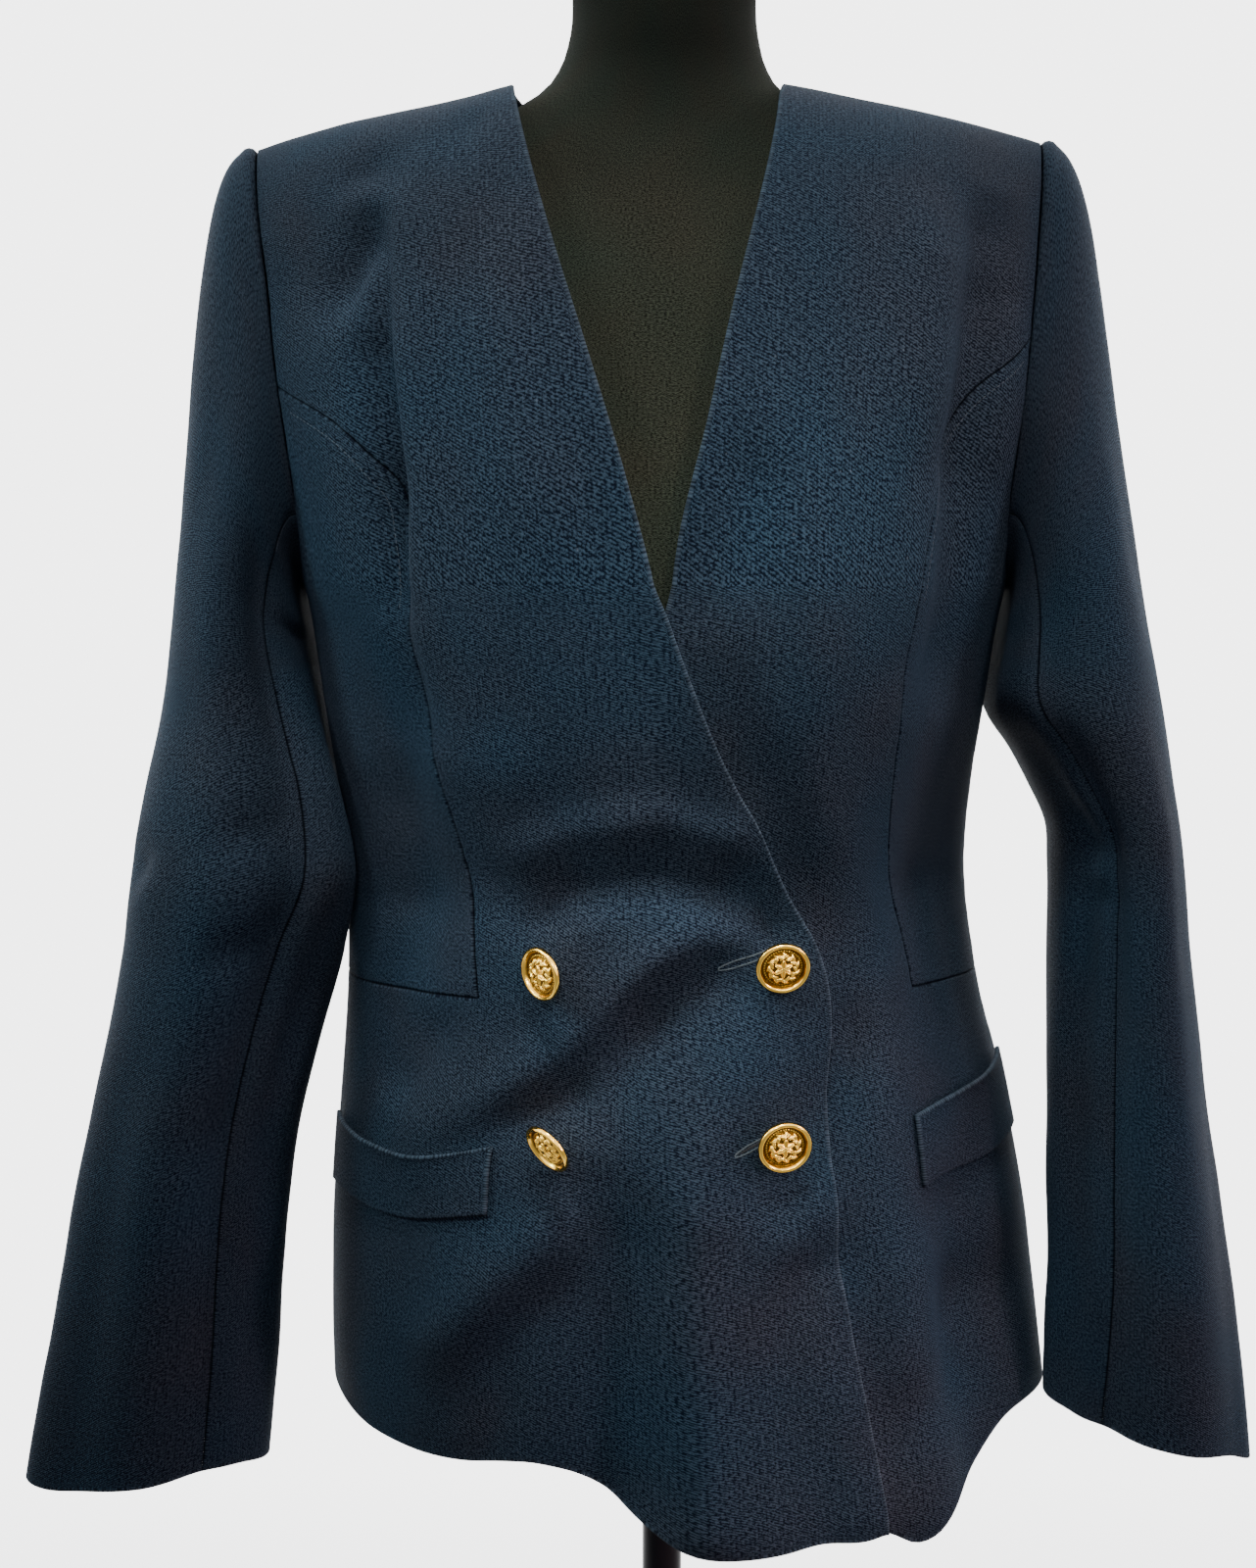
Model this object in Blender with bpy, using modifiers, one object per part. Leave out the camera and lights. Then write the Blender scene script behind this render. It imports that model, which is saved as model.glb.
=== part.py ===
"""Double-breasted blazer worn on a limbless dress form with a pole stand.

The cloth is a thin wall on one worn surface. A place on it has a turn, in degrees round the body
(0 at the wearer's right side, 90 at the front, 180 at the left side, 270 at the back), and a
level: the height in mm up to the chest, and from there a share of the way over the shoulder.
Panels are patches of turn and level that meet edge to edge. Sizes are in mm; meshes in metres.
The wearer's right is at -X, the front faces -Y and the stand's base rests on z = 0.
"""
import math

import bmesh
import bpy
import numpy as np
from mathutils import Matrix, Vector

MM = 0.001
CLOTH = 2.0                  # thickness of the cloth wall
SEAM_GAP = 0.34              # gap between two panels that are sewn together
RIGHT, LEFT = -1, 1          # the wearer's sides, as signs of X

BUST_LEVEL = 1150.0          # where the front begins to lean back to the shoulder
BLADE_LEVEL = 1220.0         # the same for the back
RIDGE_LEVEL = 1400.0         # the shoulder seam
WAIST_LEVEL = 953.0          # short waist seam of the side fronts
SHOULDER_CENTRE = -7.5       # X of the middle of the shoulders
SHOULDER_LEAN = 0.009        # rise of the shoulders toward the wearer's left
SEAM_Y = 3.0                 # Y of the shoulder seam
ROLL_POWER = 2.15            # fullness of the curve over the shoulder

LAP_DEPTH = 4.4              # how far the under front lies below the top one
LAP_NEAR, LAP_FAR = 4.0, 40.0

BUTTON_RADIUS = 13.0
STEM_RADIUS = 2.2
WELT_THICKNESS = 2.4
WELT_GAP = 0.7

POLE_RADIUS = 10.3
BASE_RADIUS = 150.0
FORM_BOTTOM = 775.0


class Table:
    """Rows of named sizes, read as smooth curves along the first column."""

    def __init__(self, columns, *rows):
        names = columns.split()
        values = np.array(rows, dtype=float)
        self.knots = values[:, 0]
        self.columns = dict(zip(names[1:], values[:, 1:].T))

    def __call__(self, name, at):
        knots, values = self.knots, self.columns[name]
        slopes = np.gradient(values, knots)
        at = np.clip(at, knots[0], knots[-1])
        k = np.clip(np.searchsorted(knots, at, side="right") - 1, 0, len(knots) - 2)
        span = knots[k + 1] - knots[k]
        t = (at - knots[k]) / span
        rise = values[k] * (1 + 2 * t) * (1 - t) ** 2 + slopes[k] * span * t * (1 - t) ** 2
        return rise + values[k + 1] * t * t * (3 - 2 * t) - slopes[k + 1] * span * t * t * (1 - t)


# Worn cross-sections of the jacket's body.
TORSO = Table(
    "level half_width front back squareness shift",
    (690, 187.0, 132, 116, 2.35, 15.0),
    (756, 183.4, 131, 119, 2.35, 12.5),
    (819, 179.6, 129, 121, 2.30, 9.2),
    (861, 174.8, 126, 116, 2.30, 7.0),
    (903, 168.6, 120, 104, 2.28, 4.5),
    (944, 162.0, 113, 92, 2.25, 0.5),
    (1006, 158.0, 110, 83, 2.25, -3.5),
    (1046, 160.8, 115, 85, 2.30, -4.0),
    (1087, 166.6, 122, 91, 2.35, -4.0),
    (1150, 176.5, 128, 101, 2.40, -4.0),
    (1200, 191.0, 128, 107, 2.40, -6.0),
    (1300, 206.5, 128, 110, 2.40, -7.5),
    (1400, 215.5, 128, 110, 2.40, -7.5),
)
# Height of the shoulder seam, by distance from the middle of the shoulders.
SHOULDER = Table(
    "across height",
    (0, 1404.0), (67.5, 1396.2), (109, 1387.8), (155, 1378.3), (185, 1370.5), (198, 1366.5), (240, 1352.0),
)
# The armhole, by station round the arm: 0 under the arm, 180 at the shoulder point.
ARMHOLE_FRONT = Table(
    "station level turn",
    (0, 1147, 0), (20, 1149.5, 6.5), (40, 1158, 14.0), (60, 1173, 19.5), (80, 1193, 22.6), (100, 1217, 24.0),
    (120, 1247, 24.5), (140, 1286, 24.8), (160, 1336, 25.4), (180, 1400, 26.4),
)
ARMHOLE_BACK = Table(
    "station level turn",
    (0, 1147, 0), (20, 1150, 6.0), (40, 1160, 12.8), (60, 1178, 18.0), (80, 1203, 21.0), (100, 1234, 22.6),
    (120, 1264, 23.6), (140, 1300, 24.4), (160, 1342, 25.3), (180, 1400, 26.4),
)
# Front edges and necklines: X of each front's free edge.
EDGE_RIGHT = Table(
    "level across",
    (690, 103), (744, 96.6), (798, 87.7), (834, 82.5), (866, 80.2), (912, 79.2), (938, 78.6), (965, 75.5),
    (989, 67.5), (1006, 58.5), (1043, 39.5), (1075, 23.5), (1108, 10.5), (1138, -0.8), (1178, -19.0),
    (1215, -36.0), (1250, -50.4), (1274, -58.2), (1307, -66.3), (1348, -72.2), (1400, -75.2),
)
EDGE_LEFT = Table(
    "level across",
    (690, -95), (744, -92), (798, -88), (866, -84), (938, -81), (965, -77), (989, -69), (1006, -60),
    (1043, -42), (1075, -27), (1108, -13), (1138, -0.8), (1166, 6.9), (1196, 18.6), (1217, 25.4), (1237, 31.8),
    (1258, 38.4), (1287, 46.2), (1315, 51.6), (1357, 56.0), (1400, 60.2),
)
# Princess seams, from the waist seam up to the armhole, by turn from the side.
PRINCESS_RIGHT = Table(
    "share level turn",
    (0.00, 953, 59.0), (0.14, 990, 57.6), (0.33, 1040, 55.2), (0.52, 1090, 52.0), (0.67, 1130, 50.4),
    (0.78, 1160, 51.6), (0.86, 1182, 50.2), (0.93, 1200, 42.0), (1.00, 1217, 24.0),
)
PRINCESS_LEFT = Table(
    "share level turn",
    (0.00, 953, 39.0), (0.10, 979, 39.8), (0.21, 1006, 42.0), (0.34, 1040, 45.4), (0.50, 1084, 48.4),
    (0.66, 1126, 49.6), (0.80, 1166, 48.8), (0.87, 1186, 45.4), (0.94, 1207, 36.5), (1.00, 1217, 24.0),
)
# Hems: level of the lower edge, by X.
HEM_RIGHT = Table(
    "across level",
    (-175, 742), (-165, 738), (-150, 733), (-128, 729.5), (-97, 728.5), (-60, 731), (-46, 727), (-30, 718),
    (-15, 705.5), (3, 696.5), (22, 693.5), (56, 695), (73, 698.5), (97, 699.5), (103, 701),
)
HEM_LEFT = Table(
    "across level",
    (-95, 738), (-56, 738), (-42, 735), (-25, 726), (-8, 714), (8, 706), (24, 704), (56, 704), (97, 703),
    (112, 697), (122, 692), (131, 695), (141, 706), (153, 721), (170, 738), (182, 742), (200, 741),
)
HEM_BACK_CENTRE = 729.0
BACK_NECK_LEVEL = 1330.0     # the neckline's lowest place, at the centre back seam

# Largest folds of the body, each a soft line from one place to another: X and level of its ends, how far
# it is pushed in (-) or out (+), and its half spread.
FOLD_COLUMNS = "from_across from_level to_across to_level depth spread".split()
FOLDS = (
    (-62, 1003, -38, 1030, -3.0, 19),        # arch over the two upper buttons
    (-38, 1030, 4, 1033, -4.0, 19),
    (4, 1033, 42, 1015, -4.0, 19),
    (42, 1015, 62, 990, -2.5, 17),
    (46, 985, 20, 980, -1.5, 17),            # pull from the upper outer button to the lower inner one
    (20, 980, -14, 948, -3.0, 19),
    (-14, 948, -44, 925, -3.0, 19),
    (-44, 925, -80, 906, -2.0, 18),
    (-164, 1262, -142, 1300, -5.0, 24),      # hollow in front of the right armhole
    (-139, 1220, -127, 1176, -4.0, 11),      # crease beside the right princess seam
    (-127, 1176, -127, 1146, -3.5, 11),
    (158, 1243, 146, 1190, -4.0, 11),        # creases in front of the left armhole
    (164, 1240, 161, 1192, 2.5, 8),
    (140, 1180, 133, 1110, -5.0, 22),        # long hollow down the left side front
    (133, 1110, 136, 1010, -4.0, 22),
    (-36, 860, -28, 705, -5.0, 22),          # hanging folds below the buttons
    (28, 850, 34, 705, 4.0, 26),
    (-92, 820, -104, 745, 3.5, 26),
    (160, 800, 158, 720, -9.0, 22),
    (122, 820, 130, 705, 4.5, 20),
    (-88, 1152, -86, 1140, 6.0, 62),         # fullness over the bust
    (80, 1152, 78, 1140, 6.0, 62),
)
BACK_FOLDS = (
    (-70, 930, -96, 745, 5.0, 24),           # soft flutes below the back waist
    (62, 930, 92, 745, 5.0, 24),
    (-120, 900, -142, 750, -4.5, 20),
    (118, 900, 140, 750, -4.5, 20),
    (-60, 985, 50, 985, -3.5, 16),           # drape across the back waist
    (-150, 1190, -110, 1130, -4.5, 18),      # drag from the back armholes
    (138, 1190, 98, 1130, -4.5, 18),
)

# Sleeves, as they hang: X of the outer and inner edges, middle and half depth in Y.
SLEEVE_COLUMNS = "level outer inner middle half_depth squareness"
SLEEVE_RIGHT = Table(
    SLEEVE_COLUMNS,
    (690, -324.3, -204, -46, 34, 2.1), (728, -317.3, -200, -45, 37, 2.1), (768, -308.6, -196, -44, 41, 2.1),
    (808, -300.7, -193.5, -43, 44, 2.1), (848, -293.6, -189.5, -42, 47, 2.1), (888, -285.8, -183, -40, 49, 2.1),
    (927, -278, -173, -38, 51, 2.1), (967, -270.2, -160, -37, 53, 2.1), (1007, -265.4, -159, -31, 56, 2.15),
    (1047, -259.6, -163, -20, 60, 2.2), (1087, -252.6, -169, -9, 64, 2.25), (1127, -247.5, -176, -2, 67, 2.3),
    (1167, -245, -183, 0, 68, 2.3),
)
SLEEVE_LEFT = Table(
    SLEEVE_COLUMNS,
    (690, 296.5, 187, -57, 38, 2.1), (728, 293.3, 188, -56, 41, 2.1), (768, 288.9, 191.5, -54, 46, 2.1),
    (808, 283.8, 194.5, -50, 51, 2.1), (848, 278.2, 195, -44, 55, 2.1), (888, 272.3, 196, -38, 58, 2.1),
    (927, 267.8, 196.5, -33, 61, 2.1), (967, 262.5, 197.3, -28, 64, 2.15), (1007, 259.3, 198.2, -22, 66, 2.2),
    (1027, 257.6, 197.3, -18.5, 66.5, 2.22), (1047, 255.6, 188.6, -15, 67, 2.25),
    (1067, 253.4, 179.5, -11.5, 67.5, 2.28), (1087, 250.8, 170, -8, 68, 2.3), (1127, 244, 173, -2, 68, 2.3),
    (1167, 238, 180, 0, 68, 2.3),
)
# Level of the cuff's edge round the arm.
CUFF_RIGHT = Table(
    "station level",
    (0, 708), (45, 708.5), (90, 703.5), (135, 697.5), (180, 699.5), (225, 701), (270, 705), (315, 708),
    (360, 708),
)
CUFF_LEFT = Table(
    "station level",
    (0, 747), (45, 739.5), (90, 729.5), (135, 721.5), (180, 711.5), (225, 718), (270, 729), (315, 741),
    (360, 747),
)
# How the sleeve leaves the armhole: outward, forward and up, how straight it then drops, and how far it is
# drawn in halfway down its head.
CAP = Table(
    "station outward forward upward drop draw",
    (0, 24, 0, 16, 40, 0), (30, 28, 6, 12, 60, 0), (60, 38, 14, 8, 120, 0), (90, 50, 22, 6, 190, 1),
    (135, 80, 16, 11, 270, 2.5), (180, 114, 0, 17, 330, 3.5), (225, 80, -10, 11, 270, 2.5),
    (270, 50, -14, 6, 190, 1), (300, 38, -8, 8, 120, 0), (330, 28, -3, 12, 60, 0), (360, 24, 0, 16, 40, 0),
)
HEAD_DRAW = {RIGHT: 0.3, LEFT: 1.0}      # share of that draw on each side
BICEP_LEVEL = 1108.0
SLEEVE_CLEARANCE = 4.5       # from the middle of the body's cloth to the middle of the sleeve's

# Pocket welts: level of the sewn lower edge and of the free upper edge, and how far the latter gapes.
WELT_RIGHT = Table(
    "turn lower upper gape",
    (14, 849, 884, 0.3), (24, 847.7, 881, 2.5), (35, 845, 878.2, 5.0), (46, 844.8, 877, 4.5),
    (56, 848.7, 880, 2.0), (62, 851.5, 883, 0.3),
)
WELT_LEFT = Table(
    "turn lower upper gape",
    (8, 874, 913, 1.0), (20, 869, 906, 3.5), (31, 865, 902, 4.0), (42, 862.4, 898, 3.0), (49, 859, 894.5, 0.3),
)
# Buttons: place on the body, and the way each tilted face looks, to the left (+) and down (+), in degrees.
BUTTON_COLUMNS = "name across level yaw pitch".split()
BUTTONS = (
    ("button_inner_upper", -56.5, 967.6, -48, 8),
    ("button_outer_upper", 53.4, 968.6, 6, 18),
    ("button_inner_lower", -53.5, 886.5, -50, 30),
    ("button_outer_lower", 53.8, 886.5, 12, 14),
)
# Outline of a button from its back out to the rim and in over the domed face.
BUTTON_OUTLINE = (
    ("radius", "height"),
    (0.0, -2.6), (5.5, -2.5), (10.6, -1.4), (12.9, 0.0), (13.0, 1.0), (12.2, 1.7), (11.0, 1.4), (10.2, 0.7),
    (9.2, 1.2), (6.0, 2.0), (0.0, 2.4),
)
# The dress form's cross-sections.
FORM = Table(
    "level half_width front back squareness shift",
    (775, 147, 96, 97, 2.2, 4), (783, 151, 99, 100, 2.2, 4), (800, 157, 104, 104, 2.2, 4),
    (850, 161, 110, 104, 2.2, 4), (900, 151, 103, 90, 2.2, 2), (950, 136, 94, 76, 2.2, 0),
    (1000, 125, 92, 68, 2.2, -2), (1050, 132, 100, 72, 2.2, -3), (1100, 146, 110, 80, 2.25, -4),
    (1150, 155, 119, 90, 2.3, -4), (1200, 158, 113, 95, 2.3, -4),
    (1250, 162, 101, 93, 2.3, -5), (1290, 163, 86, 82, 2.3, -6), (1320, 161, 70, 70, 2.3, -7),
    (1345, 142, 57, 60, 2.2, -6), (1362, 112, 51, 56, 2.15, -5), (1376, 88, 47, 53, 2.1, -2.5),
    (1386, 72, 45, 51, 2.1, -1.5), (1394, 60, 44, 49, 2.05, -1), (1404, 52.5, 43.5, 47, 2.0, -0.5),
    (1420, 47.3, 44, 46, 2.0, 0), (1450, 45.8, 43, 46, 2.0, 0), (1493, 45.8, 42, 47, 2.0, 0),
    (1500, 45, 41, 46, 2.0, 0),
)
FORM_SEGMENTS = 32
FORM_ROW = 32.0              # tallest row of the form's loft
FORM_END_TRIM = 0.95         # the end rings are a little smaller, which rounds the ends

# Colour, roughness and metallic value of each material.
FINISH_COLUMNS = "red green blue roughness metallic".split()
FINISHES = {
    "navy_wool": (0.012, 0.020, 0.036, 0.85, 0.0),
    "black_jersey": (0.012, 0.013, 0.012, 0.90, 0.0),
    "gold_metal": (0.80, 0.58, 0.22, 0.28, 1.0),
    "black_enamel": (0.010, 0.010, 0.012, 0.30, 0.0),
}

# Grid sizes: cells along each stretch.
SKIRT_ROWS = 8               # hem to waist seam
SIDE_ROWS = 10               # waist seam to armhole, on the princess seam
FRONT_COLUMNS = 11           # front edge to princess seam
BACK_COLUMNS = 7
NECK_ROWS = 5                # back neckline, centre to shoulder
CAP_ROWS, ARM_ROWS = 7, 10
# Stations of the armhole's points, in front and behind. The sleeve's seams are at two of them.
FRONT_STATIONS = (0, 15, 30, 44, 58, 72, 86, 100, 116, 132, 146, 158, 169, 180)
BACK_STATIONS = (0, 15, 30, 45, 60, 75, 90, 105, 120, 135, 147, 159, 170, 180)
PRINCESS_STATION = 100
FRONT_SEAM, BACK_SEAM = 58, 285


def smooth_step(value, low, high):
    t = np.clip((value - low) / (high - low), 0, 1)
    return t * t * (3 - 2 * t)


def fold_depth(across, level, folds):
    """Push of all the soft folds at a place, in mm out of the surface."""
    total = np.zeros(np.broadcast(across, level).shape)
    for row in folds:
        fold = dict(zip(FOLD_COLUMNS, row))
        run = fold["to_across"] - fold["from_across"]
        rise = fold["to_level"] - fold["from_level"]
        along = (across - fold["from_across"]) * run + (level - fold["from_level"]) * rise
        along = np.clip(along / (run * run + rise * rise), 0, 1)
        gap_x = across - fold["from_across"] - along * run
        gap_z = level - fold["from_level"] - along * rise
        total = total + fold["depth"] * np.exp(-(gap_x ** 2 + gap_z ** 2) / fold["spread"] ** 2)
    return total


def body_point(turn, level):
    """Middle of the body's cloth at a turn and a level."""
    turn, level = np.broadcast_arrays(np.asarray(turn, float), np.asarray(level, float))
    angle = np.radians(turn)
    power = 2 / TORSO("squareness", level)
    is_front = np.sin(angle) >= 0
    start = np.where(is_front, BUST_LEVEL, BLADE_LEVEL)
    low = np.minimum(level, start)
    across = np.sign(np.cos(angle)) * np.abs(np.cos(angle)) ** power
    x = TORSO("shift", level) - TORSO("half_width", level) * across
    depth = np.where(is_front, -TORSO("front", low), TORSO("back", low)) * np.abs(np.sin(angle)) ** power
    roll = np.clip((level - start) / (RIDGE_LEVEL - start), 0, 1) * math.pi / 2
    upright = np.clip(np.cos(roll), 0, 1) ** (2 / ROLL_POWER)
    ridge = SHOULDER("height", np.abs(x - SHOULDER_CENTRE)) + SHOULDER_LEAN * x
    y = depth * upright + SEAM_Y * (1 - upright)
    z = low + (ridge - low) * np.sin(roll) ** (2 / ROLL_POWER)
    push = np.where(is_front, fold_depth(x, level, FOLDS), fold_depth(x, level, BACK_FOLDS))
    push = push * smooth_step(np.abs(y), 0, 45)
    x = x - push * np.cos(angle)
    y = y - push * np.sin(angle)
    return np.stack([x, y, z], axis=-1)


def unit(vectors):
    return vectors / np.linalg.norm(vectors, axis=-1, keepdims=True)


def body_surface(turn, level):
    """Points of the body's cloth and their outward normals."""
    step = 0.25
    up = np.minimum(level + step, RIDGE_LEVEL)
    down = np.minimum(level, RIDGE_LEVEL) - step
    around = body_point(turn + step, level) - body_point(turn - step, level)
    upward = body_point(turn, up) - body_point(turn, down)
    return body_point(turn, level), unit(np.cross(around, upward))


def side_turn(side, turn):
    """A turn counted from the wearer's own side, as a turn of the whole body."""
    return turn if side == RIGHT else (180 - turn) % 360


def turn_at(across, level):
    """Turn of the front place with this X at this level."""
    reach = (TORSO("shift", level) - across) / TORSO("half_width", level)
    cosine = np.sign(reach) * np.abs(np.clip(reach, -1, 1)) ** (TORSO("squareness", level) / 2)
    return np.degrees(np.arccos(cosine))


def armhole(side, station):
    """Turn and level of the armhole at a station, 0 to 360 round the arm through the front."""
    if station <= 180:
        return side_turn(side, float(ARMHOLE_FRONT("turn", station))), float(ARMHOLE_FRONT("level", station))
    turn = (360 - float(ARMHOLE_BACK("turn", 360 - station))) % 360
    return side_turn(side, turn), float(ARMHOLE_BACK("level", 360 - station))


def free_edge(side, level):
    """Turn and level of a front's free edge: front edge below, neckline above."""
    edge = EDGE_RIGHT if side == RIGHT else EDGE_LEFT
    return float(turn_at(edge("across", level), level)), level


def princess(side, share):
    table = PRINCESS_RIGHT if side == RIGHT else PRINCESS_LEFT
    return side_turn(side, float(table("turn", share))), float(table("level", share))


def hem_level(side, turn):
    """Level of the front hem at a turn."""
    table = HEM_RIGHT if side == RIGHT else HEM_LEFT
    level = 720.0
    for _ in range(4):
        level = float(table("level", body_point(turn, level)[0]))
    return level


def blend(start, end, count):
    return [start + (end - start) * k / count for k in range(count + 1)]


def coons(bottom, top, left, right):
    """Grid of places inside four edges. Each edge is a list of (turn, level); returns rows of places."""
    bottom, top, left, right = (np.array(edge, dtype=float) for edge in (bottom, top, left, right))
    columns, rows = len(bottom) - 1, len(left) - 1
    u = np.linspace(0, 1, columns + 1)[None, :, None]
    v = np.linspace(0, 1, rows + 1)[:, None, None]
    edges = (1 - v) * bottom[None] + v * top[None] + (1 - u) * left[:, None] + u * right[:, None]
    corners = ((1 - u) * (1 - v) * bottom[0] + u * (1 - v) * bottom[-1]
               + (1 - u) * v * top[0] + u * v * top[-1])
    return edges - corners


def new_object(name, mesh, finish, collection):
    mesh.materials.append(material(finish))
    item = bpy.data.objects.new(name, mesh)
    collection.objects.link(item)
    return item


def material(finish):
    found = bpy.data.materials.get(finish)
    if found:
        return found
    values = dict(zip(FINISH_COLUMNS, FINISHES[finish]))
    made = bpy.data.materials.new(finish)
    made.use_nodes = True
    shader = made.node_tree.nodes["Principled BSDF"]
    shader.inputs["Base Color"].default_value = (values["red"], values["green"], values["blue"], 1)
    shader.inputs["Roughness"].default_value = values["roughness"]
    shader.inputs["Metallic"].default_value = values["metallic"]
    return made


def inset_edges(points, normals, cells, distance):
    """Move the boundary points of a sheet inward along it, by each point's own distance."""
    owner = {}
    for cell in cells:
        for a, b in zip(cell, cell[1:] + cell[:1]):
            key = (min(a, b), max(a, b))
            owner[key] = None if key in owner else cell
    outward = {}
    for (a, b), cell in owner.items():
        if cell is None:
            continue
        run = points[b] - points[a]
        side = np.cross(run, normals[a] + normals[b])
        side = side / np.linalg.norm(side)
        middle = points[list(cell)].mean(axis=0)
        if np.dot(side, (points[a] + points[b]) / 2 - middle) < 0:
            side = -side
        outward.setdefault(a, []).append(side)
        outward.setdefault(b, []).append(side)
    moved = points.copy()
    for index, (first, second) in outward.items():
        spread = max(1 + float(np.dot(first, second)), 0.35)
        moved[index] = points[index] - (first + second) / spread * distance[index]
    return moved, [key for key, cell in owner.items() if cell is not None]


def make_wall(name, points, normals, cells, collection, thickness=CLOTH, finish="navy_wool", insets=None):
    """One closed wall: an outer and an inner skin of the sheet, joined round its boundary."""
    distance = np.full(len(points), SEAM_GAP / 2)
    if insets is not None:
        distance = np.maximum(distance, insets)
    middle, rim = inset_edges(points, normals, cells, distance)
    count = len(points)
    outer = middle + normals * thickness / 2
    inner = middle - normals * thickness / 2
    first = cells[0]
    facing = np.cross(points[first[1]] - points[first[0]], points[first[2]] - points[first[0]])
    if np.dot(facing, normals[first[0]]) < 0:
        cells = [cell[::-1] for cell in cells]
    directed = set()
    for cell in cells:
        directed.update(zip(cell, cell[1:] + cell[:1]))
    faces = [tuple(cell) for cell in cells]
    faces += [tuple(count + index for index in reversed(cell)) for cell in cells]
    for a, b in rim:
        start, end = (a, b) if (a, b) in directed else (b, a)
        faces.append((end, start, count + start, count + end))
    mesh = bpy.data.meshes.new(name)
    vertices = np.concatenate([outer, inner]) * MM
    mesh.from_pydata([tuple(v) for v in vertices], [], faces)
    mesh.validate()
    clean = bmesh.new()
    clean.from_mesh(mesh)
    loose = [vertex for vertex in clean.verts if not vertex.link_faces]
    bmesh.ops.delete(clean, geom=loose, context="VERTS")
    bmesh.ops.triangulate(clean, faces=clean.faces[:], quad_method="SHORT_EDGE")
    clean.to_mesh(mesh)
    clean.free()
    mesh.shade_smooth()
    mesh.set_sharp_from_angle(angle=math.radians(40))
    return new_object(name, mesh, finish, collection)


def grid_cells(rows, columns, start=0, stride=None):
    stride = stride or columns + 1
    return [
        [start + j * stride + i, start + j * stride + i + 1,
         start + (j + 1) * stride + i + 1, start + (j + 1) * stride + i]
        for j in range(rows) for i in range(columns)
    ]


def place_panel(name, places, cells, collection, lift=None):
    """Wall on the body's surface from a flat list of places (turn, level)."""
    turn, level = places[:, 0], places[:, 1]
    points, normals = body_surface(turn, level)
    if lift is not None:
        points = points + normals * lift(points, level)[:, None]
    return make_wall(name, points, normals, cells, collection)


def under_lap(points, level):
    """The under front lies below the top one, and comes up to the common surface beyond its edge."""
    beyond = points[:, 0] - EDGE_RIGHT("across", level)
    return -LAP_DEPTH * (1 - smooth_step(beyond, LAP_NEAR, LAP_FAR))


def side_shares():
    return blend(0.0, 1.0, SIDE_ROWS)


def waist_row(side):
    """Places along the waist line from the front edge to the princess seam and on to the side seam."""
    foot = princess(side, 0.0)[0]
    edge = free_edge(side, WAIST_LEVEL)[0]
    limit = side_turn(side, 0.0)
    stations = [s for s in FRONT_STATIONS if s <= PRINCESS_STATION]
    inner = [(turn, WAIST_LEVEL) for turn in blend(edge, foot, FRONT_COLUMNS)]
    outer = [(foot + (limit - foot) * (1 - s / PRINCESS_STATION), WAIST_LEVEL) for s in reversed(stations)]
    return inner, outer


def front_panel(side, name, collection):
    """Front with the shoulder and upper armhole, and below the waist seam right round to the side seam."""
    inner, outer = waist_row(side)
    waist = inner + outer[1:]
    hem_low = []
    hem_edge = free_edge(side, 700.0)[0]
    foot, limit = inner[-1][0], outer[-1][0]
    for turn, _ in waist:
        if abs(turn - limit) >= abs(foot - limit):
            share = (turn - foot) / (inner[0][0] - foot)
            turn = foot + share * (hem_edge - foot)
        hem_low.append((turn, hem_level(side, turn)))
    edge_levels = blend(hem_low[0][1], WAIST_LEVEL, SKIRT_ROWS)
    left = [free_edge(side, level) for level in edge_levels]
    hem_low[0] = left[0]
    right = [(limit, level) for level in blend(hem_low[-1][1], WAIST_LEVEL, SKIRT_ROWS)]
    skirt = coons(hem_low, waist, left, right)

    outline = [princess(side, share) for share in side_shares()]
    outline += [armhole(side, s) for s in FRONT_STATIONS if s > PRINCESS_STATION]
    upper_rows = len(outline) - 1
    edge_up = [level for _, level in outline]
    left = [free_edge(side, level) for level in edge_up]
    top = [(turn, RIDGE_LEVEL) for turn in blend(left[-1][0], outline[-1][0], FRONT_COLUMNS)]
    chest = coons(inner, top, left, outline)

    skirt_width = len(waist)
    places = list(skirt.reshape(-1, 2))
    cells = grid_cells(SKIRT_ROWS, skirt_width - 1)
    row_of = {0: SKIRT_ROWS * skirt_width}
    places += list(chest[1:].reshape(-1, 2))
    for row in range(1, upper_rows + 1):
        row_of[row] = (SKIRT_ROWS + 1) * skirt_width + (row - 1) * (FRONT_COLUMNS + 1)
    for row in range(upper_rows):
        low, high = row_of[row], row_of[row + 1]
        cells += [[low + i, low + i + 1, high + i + 1, high + i] for i in range(FRONT_COLUMNS)]
    lift = under_lap if side == LEFT else None
    return place_panel(name, np.array(places), cells, collection, lift)


def side_front(side, name, collection):
    """Side front between side seam, waist seam, princess seam and the lower armhole."""
    stations = [s for s in FRONT_STATIONS if s <= PRINCESS_STATION]
    bottom = waist_row(side)[1][::-1]
    top = [armhole(side, s) for s in stations]
    left = [(bottom[0][0], level) for level in blend(WAIST_LEVEL, top[0][1], SIDE_ROWS)]
    right = [princess(side, share) for share in side_shares()]
    places = coons(bottom, top, left, right)
    return place_panel(name, places.reshape(-1, 2), grid_cells(SIDE_ROWS, len(stations) - 1), collection)


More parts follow.
